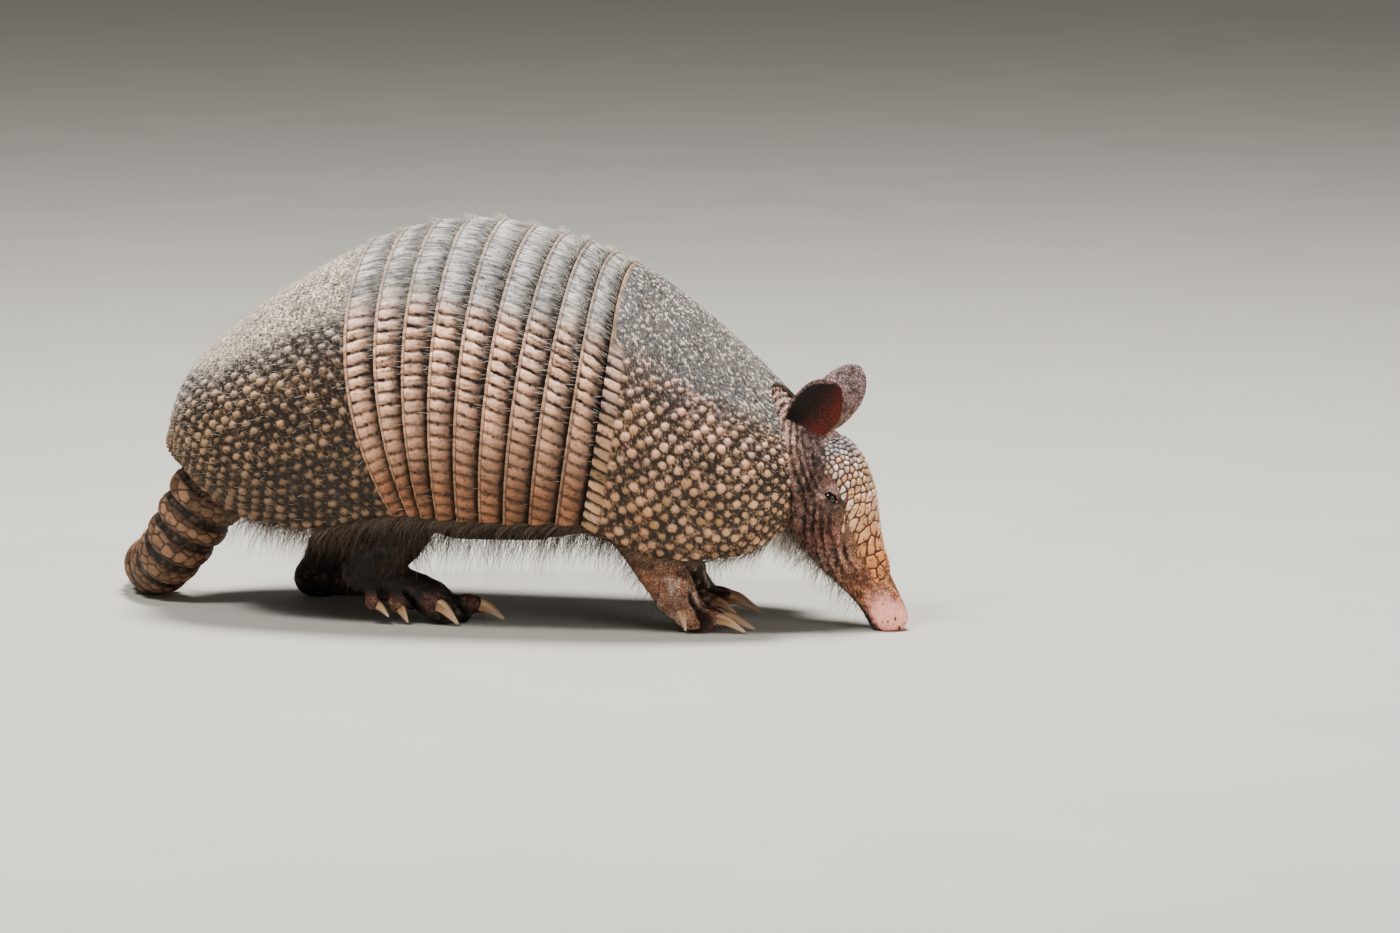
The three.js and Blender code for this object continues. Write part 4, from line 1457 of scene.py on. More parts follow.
@dataclass
class Field:
    """Signed distances to a soft shape on a stretched grid: negative inside, positive outside."""

    lines: tuple[Array, Array, Array]
    value: Array = field(init=False)

    def __post_init__(self) -> None:
        """Starts with nothing inside: every point is far out."""
        far = 50.0
        self.value = np.full([len(a) for a in self.lines], far)

    def block(self, low: Array, high: Array) -> tuple:
        """The part of the grid inside a box.

        Args:
            low: lowest corner.
            high: highest corner.

        Returns:
            Slices of the grid, and the points in them.
        """
        cuts = tuple(
            slice(np.searchsorted(a, lo), np.searchsorted(a, hi)) for a, lo, hi in zip(self.lines, low, high)
        )
        points = np.stack(np.meshgrid(*(a[c] for a, c in zip(self.lines, cuts)), indexing="ij"), -1)
        return cuts, points

    def join(self, cuts: tuple, distance: Array, soft: float) -> None:
        """Joins a shape, with a fillet."""
        self.value[cuts] = soft_least(self.value[cuts], distance, soft)

    def carve(self, cuts: tuple, distance: Array, soft: float) -> None:
        """Cuts a shape away, with a rounded edge."""
        self.value[cuts] = -soft_least(-self.value[cuts], distance, soft)

    def add_tube(
        self, tube: Tube, soft: float, grow: float = 0.0, samples: int = 16, belly: float = 2.0,
        cap: float = 1.0,
    ) -> None:
        """Joins a tube.

        Each grid point takes the nearest of the tube's short straight lengths. Its sideways and upward
        distances over the half-width and half-depth there, with its distance past an end, give k, which is
        1 on the surface; the distance is k times k - 1 over the length of k's gradient.

        Args:
            tube: the shape.
            soft: radius of the fillet with what is there.
            grow: how much the tube is thickened.
            samples: straight lengths that stand for it.
            belly: power of the lower half's section, 2 for an ellipse and more for a fuller one.
            cap: how far the rounded ends stand out, as a share of the radius.
        """
        t = np.linspace(0, 1, samples + 1)
        centre, tangent, across, deep, wide, thick = tube.frame(t)
        reach = max(wide.max(), thick.max()) + grow + soft + 3.0
        cuts, points = self.block(centre.min(axis=0) - reach, centre.max(axis=0) + reach)
        shape = points.shape[:-1]
        best = np.full(shape, 1e9)
        place = np.zeros(shape)
        for i in range(samples):
            step = centre[i + 1] - centre[i]
            f = np.clip(((points - centre[i]) @ step) / (step @ step), 0, 1)
            away = np.sum((points - centre[i] - f[..., None] * step) ** 2, axis=-1)
            closer = away < best
            best = np.where(closer, away, best)
            place = np.where(closer, i + f, place)
        i = np.minimum(place.astype(int), samples - 1)
        f = (place - i)[..., None]
        lerp = [a[i] * (1 - f) + a[i + 1] * f for a in (centre, across, deep, tangent)]
        w = wide[i] * (1 - f[..., 0]) + wide[i + 1] * f[..., 0] + grow
        d = thick[i] * (1 - f[..., 0]) + thick[i + 1] * f[..., 0] + grow
        away = points - lerp[0]
        side = np.sum(away * lerp[1], axis=-1)
        up = np.sum(away * lerp[2], axis=-1)
        past = np.where((place <= 0) | (place >= samples), np.sum(away * lerp[3], axis=-1), 0)
        end = np.minimum(w, d) * cap
        power = np.where(up * np.sign(lerp[2][..., 2]) < 0, belly, 2.0)
        section = np.abs(side / w) ** power + np.abs(up / d) ** power
        k0 = np.sqrt(section ** (2 / power) + (past / end) ** 2)
        k1 = np.sqrt((side / w**2) ** 2 + (up / d**2) ** 2 + (past / end**2) ** 2)
        self.join(cuts, k0 * (k0 - 1) / np.maximum(k1, 1e-6), soft)

    def untangle(self) -> None:
        """Fills the corners by which two parts of the shape would touch along a line.

        A side of a grid cell whose corners are inside and outside by turns would give an edge with four
        faces. The outside corner that is nearer to the surface is moved just inside, until no such side is
        left.
        """
        just_inside = -0.02
        tangled = True
        while tangled:
            tangled = False
            for first, second in ((0, 1), (1, 2), (2, 0)):
                near, far = [slice(None)] * 3, [slice(None)] * 3
                near[first], far[first] = slice(0, -1), slice(1, None)
                corners = []
                for along in (near, far):
                    for cut in (slice(0, -1), slice(1, None)):
                        place = list(along)
                        place[second] = cut
                        corners.append(self.value[tuple(place)])
                for a, b, c, d in (corners, [corners[i] for i in (1, 0, 3, 2)]):
                    crossed = (a < 0) & (d < 0) & (b >= 0) & (c >= 0)
                    tangled |= bool(crossed.any())
                    nearer = b <= c
                    b[crossed & nearer] = just_inside
                    c[crossed & ~nearer] = just_inside

    def surface(self) -> Surface:
        """Finds the surface where the distance is 0.

        Each grid cell that it crosses gets one vertex, the mean of the crossings on the cell's edges, and
        each grid edge that it crosses gets the face of the four cells around that edge.

        Returns:
            The closed surface.
        """
        self.untangle()
        f = self.value
        size = [n - 1 for n in f.shape]
        inside = f < 0
        corners = [tuple(slice(o, o + n) for o, n in zip(c, size)) for c in np.ndindex(2, 2, 2)]
        count = sum(inside[c].astype(np.int8) for c in corners)
        cells = np.argwhere((count > 0) & (count < 8))
        number = np.full(size, -1)
        number[tuple(cells.T)] = np.arange(len(cells))
        total = np.zeros((len(cells), 3))
        weight = np.zeros(len(cells))
        for axis in range(3):
            for start in np.ndindex(2, 2, 2):
                if start[axis]:
                    continue
                one = cells + start
                two = one + np.eye(3, dtype=int)[axis]
                a, b = f[tuple(one.T)], f[tuple(two.T)]
                hit = (a < 0) != (b < 0)
                share = np.where(hit, a / np.where(hit, a - b, 1), 0)[:, None]
                p = np.stack([line[c] for line, c in zip(self.lines, one.T)], -1)
                q = np.stack([line[c] for line, c in zip(self.lines, two.T)], -1)
                total += hit[:, None] * (p + (q - p) * share)
                weight += hit
        faces = []
        for axis in range(3):
            u, v = (axis + 1) % 3, (axis + 2) % 3
            low, high = [slice(None)] * 3, [slice(None)] * 3
            low[axis], high[axis] = slice(0, -1), slice(1, None)
            change = inside[tuple(low)].astype(np.int8) - inside[tuple(high)].astype(np.int8)
            at = np.argwhere(change != 0)
            at = at[(at[:, u] > 0) & (at[:, v] > 0) & (at[:, u] < size[u]) & (at[:, v] < size[v])]
            sign = change[tuple(at.T)]
            du, dv = np.eye(3, dtype=int)[u], np.eye(3, dtype=int)[v]
            quad = np.stack([number[tuple(p.T)] for p in (at - du - dv, at - dv, at, at - du)], -1)
            faces.append(np.where(sign[:, None] > 0, quad, quad[:, ::-1]))
        quads = np.concatenate(faces)
        return Surface(total / weight[:, None], [Patch(quads, quads)])


def smoothed(points: Array, quads: Array, rounds: int) -> Array:
    """Evens out a mesh: each vertex moves towards the mean of its neighbours, then a little further back.

    Args:
        points: vertices.
        quads: faces.
        rounds: how many pairs of moves.

    Returns:
        The moved vertices.
    """
    edges = np.concatenate([quads[:, [i, (i + 1) % 4]] for i in range(4)])
    degree = np.bincount(edges[:, 0], minlength=len(points))[:, None]
    for step in [0.5, -0.52] * rounds:
        mean = np.stack(
            [np.bincount(edges[:, 0], points[edges[:, 1], k], len(points)) for k in range(3)], -1
        )
        points = points + step * (mean / degree - points)
    return points


def vertex_normals(points: Array, quads: Array) -> Array:
    """Unit normals of vertices: the sum of the cross products of the diagonals of the faces around each.

    Args:
        points: vertices.
        quads: faces.

    Returns:
        The normals.
    """
    n = np.cross(points[quads[:, 2]] - points[quads[:, 0]], points[quads[:, 3]] - points[quads[:, 1]])
    total = np.stack(
        [np.bincount(quads.ravel(), np.repeat(n[:, k], 4), len(points)) for k in range(3)], -1
    )
    return total / np.maximum(np.linalg.norm(total, axis=1, keepdims=True), 1e-9)


def nearest_on(points: Array, samples: Array) -> tuple[Array, Array]:
    """Nearest sample of each point, worked out a few thousand points at a time.

    Args:
        points: places.
        samples: places to choose from.

    Returns:
        Index of the nearest sample and the distance to it.
    """
    index = np.zeros(len(points), int)
    away = np.zeros(len(points))
    square = np.sum(samples**2, axis=1)
    batch = 4000
    for i in range(0, len(points), batch):
        part = points[i : i + batch]
        d = square - 2 * part @ samples.T + np.sum(part**2, axis=1)[:, None]
        index[i : i + batch] = d.argmin(axis=1)
        away[i : i + batch] = np.sqrt(np.maximum(d.min(axis=1), 0))
    return index, away


@dataclass(frozen=True)
class Ear:
    """A cupped leaf: midline from root to tip, half-breadths along it, thickness and depth of the cup.

    perk is how much higher the left ear's tip stands.
    """

    midline: tuple = ((160, 14, 101.5), (167, 19, 109), (174, 22, 116.5), (180, 24, 123), (185, 25.5, 128))
    half: tuple = ((9,), (12.6,), (13.4,), (11.8,), (6,))
    thick: float = 2.4
    cup: float = 5.0
    perk: float = 3.5

    def line(self, side: Side) -> Array:
        """Stations of the midline on one side of the animal.

        Args:
            side: which ear.

        Returns:
            One point for each station.
        """
        rows = np.array(self.midline, float) * [1, side.value, 1]
        rows[:, 2] += self.perk * np.linspace(0, 1, len(rows)) ** 2 * (side is Side.LEFT)
        return rows

    def directions(self, side: Side) -> tuple[Array, Array, Array]:
        """Works out how the leaf lies.

        Args:
            side: which ear.

        Returns:
            Unit vectors along the leaf, across it and out of its hollow side.
        """
        mirror = np.array([1, side.value, 1])
        axis = unit((self.line(side)[-1] - self.line(side)[0]) * mirror)
        across = unit(np.array([-axis[2], 0, axis[0]]))
        return axis * mirror, across * mirror, -np.cross(axis, across) * mirror

    def place(self, points: Array, side: Side) -> tuple[Array, Array, Array]:
        """Where points lie on the leaf.

        Args:
            points: places.
            side: which ear.

        Returns:
            Share along it, share across it from -1 to 1, and height over the middle of its thickness
            towards the hollow side.
        """
        axis, across, out = self.directions(side)
        line = self.line(side)
        share = np.clip(((points - line[0]) @ axis) / np.linalg.norm(line[-1] - line[0]), 0, 1)
        away = points - curve(line, share)
        half = curve(self.half, share)[..., 0]
        over = away @ across / half
        hollow = self.cup * (1 - np.clip(over, -1, 1) ** 2) * np.sin(np.pi * (0.15 + share * 0.85))
        return share, over, away @ out + hollow


EAR = Ear()


@dataclass
class Places:
    """Where the skin's vertices lie.

    t is the share along the head and angle the degrees round it; head, hollow and rind say from 0 to 1 how
    much a vertex belongs to the head and to an ear's inside and outside, and forward how far to an ear's
    front it lies.
    """

    t: Array
    angle: Array
    head: Array
    hollow: Array
    rind: Array
    forward: Array


def from_eyes(points: Array) -> Array:
    """Distance of each point from the nearer eye's centre."""
    return np.min([np.linalg.norm(points - eye_centre(side), axis=1) for side in Side], axis=0)


@dataclass
class Skin:
    """The one skin over all flesh: trunk, neck, head, nose, ears, legs and feet.

    inset is how far it lies inside the solids, slit the half-length and half-height of an eye's slit,
    slit_down the slit's slope in degrees, slit_lift how far it is raised, and kept the share of the faces
    left by the thinning.
    """

    inset: float = 0.3
    slit: tuple[float, float] = (6.1, 2.0)
    slit_down: float = 43.0
    slit_lift: float = 0.8
    kept: float = 0.56
    surface: Surface = field(init=False)
    normals: Array = field(init=False)
    covered: Array = field(init=False)

    def grid(self) -> Field:
        """A grid that is finest at the face and the feet, with nothing in it yet."""
        return Field((
            stretched(
                [(-136, 2.2), (-18, 1.25), (74, 1.9), (140, 1.25), (178, 0.75), (222, 0.85)], -176.0
            ),
            stretched([(-42, 1.7), (42, 0.95), (80, 1.7)], -80.0),
            stretched([(46, 0.95), (102, 1.1), (132, 0.95), (204, 3.2)], -3.0),
        ))

    def trunk(self) -> Tube:
        """Shapes the trunk inside the armour, from its stations and the belly's depth below its edge.

        Returns:
            The trunk.
        """
        drops = (2, 3, 5, 11, 15, 16, 14, 9, 6, 3)
        under_back, under_side = 4.5, 6
        stations = []
        for (back_x, back_z, edge_x, edge_z, half, *_), drop in zip(CARAPACE.stations, drops):
            low, high = edge_z - drop, back_z - under_back
            middle_x, middle_z = (back_x + edge_x) / 2, (low + high) / 2
            stations.append((middle_x, 0, middle_z, half - under_side, (high - low) / 2))
        return Tube(tuple(stations[1:]))

    def flesh(self) -> Field:
        """Builds the field of all flesh with its openings.

        Returns:
            The field, cut flat at the floor.
        """
        body = self.grid()
        body.add_tube(self.trunk(), 1.0, samples=24, belly=2.9, cap=0.2)
        body.add_tube(NECK, 3.0, -self.inset, 8, cap=0.5)
        body.add_tube(NAPE, 4.0, samples=12, cap=0.5)
        body.add_tube(HEAD, 5.0, -self.inset, 28)
        for limb in LIMBS:
            body.add_tube(limb.upper, 7.0, -self.inset, 12)
        for limb in LIMBS:
            body.add_tube(limb.foot, 3.0, -self.inset, 10)
            for digit in limb.digits:
                body.add_tube(digit.toe(), 1.6, -self.inset, 4)
                self.cuticle(body, digit)
            for one, two in zip(limb.digits, limb.digits[1:]):
                self.part_toes(body, one, two)
        for side in Side:
            self.add_ear(body, side)
            self.open_eye(body, side)
            self.open_nostril(body, side)
        sole = 0.12
        body.value = np.maximum(body.value, sole - body.lines[2][None, None, :])
        return body

    def cuticle(self, body: Field, digit: Digit) -> None:
        """Adds the fold of skin round the base of a claw: a short thick ring.

        Args:
            body: the field of flesh.
            digit: the toe.
        """
        nail = digit.nail()
        low, high = curve(nail.stations, np.array(0.02)), curve(nail.stations, np.array(0.27))
        ring = Tube(
            tuple((*p[:3], digit.claw * 1.12, digit.claw * 1.1) for p in (low, (low + high) / 2, high))
        )
        body.add_tube(ring, 1.2, 0.35, 3)

    def cleft(self, points: Array, one: Digit, two: Digit) -> Array:
        """Distance from the cleft between two toes: a thin lens, upright, half way between their knuckles.

        Args:
            points: places.
            one: a toe.
            two: the toe beside it.

        Returns:
            About the distance in millimetres, negative inside.
        """
        along = unit(one.tip - one.root + two.tip - two.root)
        over = two.knuckle - one.knuckle
        over = unit(over - along * (over @ along))
        away = points - (one.knuckle + two.knuckle) / 2 - 2.0 * along
        breadth, height = 1.5, 10.5
        lens = away @ np.stack([along / height, over / breadth, np.cross(along, over) / height], -1)
        return (np.linalg.norm(lens, axis=-1) - 1) * breadth

    def part_toes(self, body: Field, one: Digit, two: Digit) -> None:
        """Cuts the cleft between two toes.

        Args:
            body: the field of flesh.
            one: a toe.
            two: the toe beside it.
        """
        centre = (one.knuckle + two.knuckle) / 2
        cuts, points = body.block(centre - 13, centre + 13)
        body.carve(cuts, self.cleft(points, one, two), 0.8)

    def add_ear(self, body: Field, side: Side) -> None:
        """Adds an ear: a slab of its thickness, bounded by its half-breadth and length, with round edges.

        Args:
            body: the field of flesh.
            side: which ear.
        """
        centre = np.array([173.0, 20.0 * side.value, 114.0])
        cuts, points = body.block(centre - 30, centre + 30)
        axis, _, _ = EAR.directions(side)
        share, over, height = EAR.place(points, side)
        half = curve(EAR.half, share)[..., 0]
        tip = (points - EAR.line(side)[-1]) @ axis
        root = (EAR.line(side)[0] - points) @ axis
        edge_radius = 0.7
        slab = np.abs(height) - EAR.thick / 2 + edge_radius
        behind = (side is Side.LEFT) * 0.45 * share * (over > 0)
        edge, end = (np.abs(over) * (1 + behind) - 1) * half, np.maximum(tip, root - 3)
        rim = edge_radius - soft_least(-end, -edge, 7.0)
        away = np.hypot(np.maximum(slab, 0), np.maximum(rim, 0)) + np.minimum(np.maximum(slab, rim), 0)
        body.join(cuts, away - edge_radius, 2.6)

    def slit_frame(self, side: Side) -> tuple[Array, Array, Array]:
        """Works out how an eye's slit lies.

        Args:
            side: which eye.

        Returns:
            Unit vectors along the slit, across it and outwards.
        """
        out = unit(np.array([0.28, side.value * 0.96, 0.1]))
        down = np.radians(self.slit_down)
        along = np.array([np.cos(down), 0.0, -np.sin(down)])
        along = unit(along - out * (along @ out))
        return along, np.cross(out, along), out

    def open_eye(self, body: Field, side: Side) -> None:
        """Raises the lids and opens the slit: a low mound, less an ellipsoid as long and high as the slit.

        Args:
            body: the field of flesh.
            side: which eye.
        """
        centre = eye_centre(side)
        along, over, out = self.slit_frame(side)
        cuts, points = body.block(centre - 14, centre + 14)
        away = points - centre
        x, y, z = away @ along, away @ over, away @ out
        mound = np.sqrt((x / 1.5) ** 2 + y**2 + z**2) - EYE_RADIUS - 1.5
        body.join(cuts, mound, 3.0)
        y = y - self.slit_lift * np.sign(over[2])
        k = np.sqrt((x / self.slit[0]) ** 2 + (y / self.slit[1]) ** 2 + ((z - 4.5) / 4.4) ** 2)
        body.carve(cuts, (k - 1) * self.slit[1], 0.5)

    def open_nostril(self, body: Field, side: Side) -> None:
        """Opens a nostril: a small slanted pit in the front of the nose.

        Args:
            body: the field of flesh.
            side: which nostril.
        """
        centre = HEAD.point(np.array(0.93), np.radians(-90.0 + 27.0 * side.value), 0.0)
        cuts, points = body.block(centre - 8, centre + 8)
        pit = np.array([1.7, 1.25, 1.3])
        body.carve(cuts, (np.linalg.norm((points - centre) / pit, axis=-1) - 1) * pit[2], 0.4)

    def build(self) -> None:
        """Makes the skin: the field's surface, evened out, tucked under the armour and folded."""
        surface = self.flesh().surface()
        quads = surface.patches[0].corners
        points = self.tucked(smoothed(surface.points, quads, 3))
        places = self.places(points)
        points = points + vertex_normals(points, quads) * self.folds(points, places)[:, None]
        points[:, 2] = np.maximum(points[:, 2], 0.0)
        self.surface = Surface(points, surface.patches)
        self.normals = vertex_normals(points, quads)
        names = ["trunk", "neck", "head", "nose"]
        for part in ("ear", "foreleg", "hindleg", "forefoot", "hindfoot"):
            names += [f"{part}_{side.name.lower()}" for side in Side]
        self.thin(self.surface.make("skin", HIDE_FINISH, self.colour(points, places), "skin", names))

    def thin(self, made: bpy.types.Object) -> None:
        """Thins the skin where the armour hides it, and leaves the rest as it is.

        Args:
            made: the skin's object, which gets the thinned mesh.
        """
        made.vertex_groups.new(name="covered").add(np.flatnonzero(self.covered).tolist(), 1.0, "REPLACE")
        thinning = made.modifiers.new("Thin", "DECIMATE")
        thinning.vertex_group = "covered"
        thinning.ratio = self.kept
        full = made.data
        made.data = bpy.data.meshes.new_from_object(
            made.evaluated_get(bpy.context.evaluated_depsgraph_get())
        )
        made.modifiers.clear()
        made.vertex_groups.clear()
        bpy.data.meshes.remove(full)
        made.data.name = made.name
        LOG.info("%s: thinned under the armour to %d faces", made.name, len(made.data.polygons))

    def tucked(self, points: Array) -> Array:
        """Moves what would stand through the armour back under it, along the armour's normal.

        Args:
            points: vertices.

        Returns:
            The moved vertices; those well under the armour are noted as covered.
        """
        u, v = np.meshgrid(np.linspace(0.0, 3.0, 64), np.linspace(-1, 1, 60), indexing="ij")
        samples = CARAPACE.point(u, v).reshape(-1, 3)
        normals = CARAPACE.normal(u, v).reshape(-1, 3)
        near = (points[:, 0] < 150) & (points[:, 2] > 42)
        index, away = nearest_on(points[near], samples)
        near_u, near_v = u.ravel()[index], v.ravel()[index]
        self.covered = np.zeros(len(points), bool)
        self.covered[near] = (near_u > 0.05) & (near_u < 2.97) & (np.abs(near_v) < 0.97)
        over = np.sum((points[near] - samples[index]) * normals[index], axis=1)
        under_lip, under_rest, reach = 1.4, 3.3, 26
        over += under_lip + (under_rest - under_lip) * ramp(near_u, 0.0, NECK_MARGIN)
        push = np.where(away < reach, np.maximum(over, 0), 0)
        moved = points.copy()
        moved[near] -= normals[index] * push[:, None]
        return moved

    def places(self, points: Array) -> Places:
        """Finds where each vertex lies on the head, and how much it belongs to each part.

        Args:
            points: vertices.

        Returns:
            The places.
        """
        t = np.linspace(0, 1, 240)
        centre, _, across, deep, wide, thick = HEAD.frame(t)
        index, _ = nearest_on(points, centre)
        away = points - centre[index]
        beside, up = np.sum(away * across[index], axis=1), np.sum(away * deep[index], axis=1)
        angle = np.degrees(np.arctan2(up / thick[index], np.abs(beside) / wide[index]))
        x, y, z = points.T
        hollow, rind, forward = np.zeros((3, len(points)))
        for side in Side:
            share, over, height = EAR.place(points, side)
            on = (
                (np.abs(over) < 1.25) & (share > 0.02)
                & (np.abs(height) < 2.4) & (y * side.value > 3) & (z > 101)
            )
            inside = (height > 0.2) & (np.hypot(over, np.maximum(share - 0.55, 0) * 2.1) < 0.9)
            hollow, rind = np.where(on & inside, 1, hollow), np.where(on & ~inside, 1, rind)
            forward = forward + 0.5 * ramp(-over, -0.7, 0.7)
        return Places(t[index], angle, ramp(x + 0.35 * z, 160, 168), hollow, rind, forward)

    def ridges(self, points: Array) -> Array:
        """Folds of the cheek and neck: 0 in the creases and 1 on the crests.

        They hang like a curtain from a point high over the nape: level from fold to fold is the distance
        forward of the neck, scaled by the height under that point, and bent by noise. Under the eye they
        bow forwards.

        Args:
            points: vertices.

        Returns:
            Share of the way from crease to crest.
        """
        x, _, z = points.T
        wander = noise(points * [1, 1, 0.45], 11, 81) * 2.0 + noise(points * [1, 1, 0.5], 4, 82) * 0.9
        bow = 4.0 * np.exp(-(((z - 66) / 14) ** 2)) * ramp(x, 158, 172)
        level = (x - 150 - bow) * 83 / np.maximum(168 - z, 64) + wander
        return np.abs(np.sin(level * np.pi / 3.5))

    def creases(self, points: Array) -> Array:
        """Fine creases across the folds of the cheek, as a distance from 0 in their middle."""
        return np.abs(noise(points * [1, 1, 0.6], 3.2, 88))

    def rump(self, points: Array) -> Array:
        """How much a vertex belongs to the skin between the armour and the tail."""
        return ramp(points[:, 0], -138, -150) * ramp(points[:, 2], 60, 70)

    def folds(self, points: Array, places: Places) -> Array:
        """Height of wrinkles.

        Cheeks and neck have long ridges that hang down, one every few millimetres, cut by fine creases.
        Legs have rings of soft wrinkles. The mouth is a groove along each side of the snout.

        Args:
            points: vertices.
            places: where they lie on the head.

        Returns:
            Height over the smooth skin in millimetres.
        """
        t, angle = places.t, places.angle
        x, _, z = points.T
        eyes = from_eyes(points)
        cheek = ramp(angle, -40, -14) * ramp(angle, 74, 52) * ramp(t, 0.6, 0.44) * ramp(x, 138, 146)
        cheek = cheek * (1 - places.hollow) * (1 - places.rind) * ramp(eyes, 6.0, 10.0)
        fold = 2.1 * np.sqrt(self.ridges(points)) - 1.5 + 0.7 * noise(points * [1, 1, 0.4], 1.6, 83)
        height = cheek * (fold - 1.1 * ramp(0.16 - self.creases(points), 0, 0.16))
        groove = np.exp(-(((angle - 38) / 7.0) ** 2)) * ramp(t, 0.5, 0.62) * ramp(t, 0.97, 0.92)
        height -= 1.1 * groove * places.head
        height += 0.35 * np.exp(-(((eyes - 7.2) / 0.9) ** 2))
        leg = ramp(z, 60, 46) * ramp(x, 150, 142) * ramp(z, 8, 16)
        height += leg * 0.5 * np.sin(z * 1.15 + 2.4 * noise(points, 9, 84)) * noise(points, 12, 85)
        height += self.rump(points) * 0.8 * np.abs(np.sin((x + 2 * noise(points, 7, 87)) * np.pi / 4.5))
        pebble = np.abs(noise(points, 3.1, 86))
        return height + 0.3 * pebble * (1 - places.hollow) * (1 - ramp(t, 0.8, 0.9) * places.head)

    def body_colour(self, points: Array, fine: Array, broad: Array) -> Array:
        """Colour of the legs, feet, belly and rump.

        Args:
            points: vertices.
            fine: noise of the size of scales.
            broad: noise of the size of patches.

        Returns:
            Linear colours.
        """
        x, y, z = points.T
        fore = ramp(x, 70, 90) * ramp(z, 58, 40)
        plate = ramp(noise(points, 2.8, 97), 0.1, 0.35) * fore * ramp(x - 0.4 * z, 78, 92)
        foot = ramp(z, 22, 9)
        knuckles = np.array([digit.knuckle for limb in LIMBS for digit in limb.digits])
        _, away = nearest_on(points, knuckles)
        pairs = [pair for limb in LIMBS for pair in zip(limb.digits, limb.digits[1:])]
        gap = np.min([self.cleft(points, *pair) for pair in pairs], axis=0)
        bright = fine[:, None]
        leg = layered(
            blend("#130a06", "#3a2012", ramp(fine + 0.5 * broad, -0.2, 0.9)),
            # The reddish hide goes on the right foreleg only, on the camera's side; the left foreleg keeps
            # the dark leg colour as painted shade.
            (linear("#cc8a68") * (0.85 + 0.4 * bright), 0.9 * fore * ramp(-y, 18, 34)),
            ("#1a0f0b", 0.7 * fore * ramp(noise(points, 5, 98), 0.2, 0.5)),
            ("#f0ccb4", 0.85 * plate),
            ("#7a5440", (0.25 + 0.3 * fore) * foot * ramp(fine + 0.4 * broad, -0.3, 0.7)),
            ("#b89a7e", (0.25 + 0.3 * fore) * foot * ramp(fine, 0.3, 0.7)),
            (linear("#96604c") * (0.7 + 0.5 * bright), 0.65 * ramp(away, 8.0, 3.5) * ramp(z, 26, 20)),
            # Painted shade: near-black in the clefts between the toes.
            ("#0b0604", 0.9 * ramp(gap, 1.3, 0.0) * ramp(z, 30, 24)),
        )
        return layered(
            leg,
            # Dark skin from the tops of the legs upward, under the armour: partly its own colour, partly
            # painted shade.
            (blend("#1d130e", "#3a281d", ramp(fine, -0.4, 0.8)), ramp(z, 40, 56)),
            (blend("#3a261c", "#8d6850", ramp(fine + 0.4 * broad, -0.5, 0.6)), self.rump(points)),
        )

    def face_colour(self, points: Array, places: Places, fine: Array, broad: Array, pink: Array) -> Array:
        """Colour of the cheeks, brow, snout, nose and lids.

        Args:
            points: vertices.
            places: where they lie on the head.
            fine: noise of the size of scales.
            broad: noise of the size of patches.
            pink: how much a vertex belongs to the bare nose.

        Returns:
            Linear colours.
        """
        t, angle, ridge, eyes = places.t, places.angle, self.ridges(points), from_eyes(points)
        x, _, z = points.T
        # Painted shade and light: near-black in the creases between the folds and in the fine creases across
        # them, pale on the folds' crests.
        cheek = layered(
            blend("#150805", "#cf9a83", ramp(ridge + 0.65 * fine, 0.15, 1.35)),
            (linear("#80361f") * (0.3 + ridge[:, None]), 0.5 * ramp(broad, -0.2, 0.6)),
            ("#150805", 0.75 * ramp(0.14 - self.creases(points), 0, 0.14)),
        )
        crown = blend("#47332d", "#8d6f66", ramp(fine + 0.4 * broad, -0.3, 0.8))
        near_shell = ramp(x, 168, 158) * ramp(z, 66, 84)
        cheek = layered(
            cheek,
            (crown, ramp(-angle, -4, 14) * ramp(t, 0.2, 0.08)),
            (linear("#a9795a") * (0.8 + 0.4 * fine[:, None]), ramp(-angle, 6, 20) * ramp(t, 0.08, 0.2)),
            # Painted highlight: pale pink on the crests of the folds next to the shell.
            ("#ecc0a8", 0.75 * near_shell * ramp(ridge + 0.5 * fine, 0.25, 1.05)),
            # Painted shade: darker low on the neck and cheek.
            ("#160a07", 0.42 * ramp(-z, -84, -60) * ramp(t, 0.42, 0.3)),
            # Painted shade: darker on the underside of the head.
            ("#2b1912", 0.75 * ramp(angle, 36, 66)),
        )
        snout = blend("#7a4125", "#ea9c63", ramp(fine + 0.3 * broad, -0.5, 0.6))
        nose = layered(
            blend("#faa898", "#d97a6c", ramp(broad + 0.4 * fine, -0.3, 0.7)),
            # Painted shade: dark on the underside of the nose.
            ("#1f1512", ramp(angle + 6 * fine, 30, 50)),
            ("#2b1714", ramp(noise(points, 1.3, 95), 0.62, 0.72)),
        )
        lean = z - 0.4 * x
        above = np.max([lean - (c[2] - 0.4 * c[0]) for c in map(eye_centre, Side)], axis=0)
        lid = blend("#3d2622", "#7d5a52", ramp(fine + 0.3 * broad, -0.4, 0.7))
        return layered(
            cheek,
            # Painted shade: darker on the underside of the snout.
            (blend(snout, "#35201a", ramp(angle + 12 * broad, 34, 62)), ramp(t, 0.42, 0.6)),
            (nose, pink),
            (
                blend(lid, "#dba896", 0.8 * ramp(above, 2.5, 5.5) * ramp(fine, -0.9, 0.1)),
                0.9 * ramp(eyes, 10.5, 7.0),
            ),
            ("#120907", ramp(eyes, 5.0, 4.1)),
        )

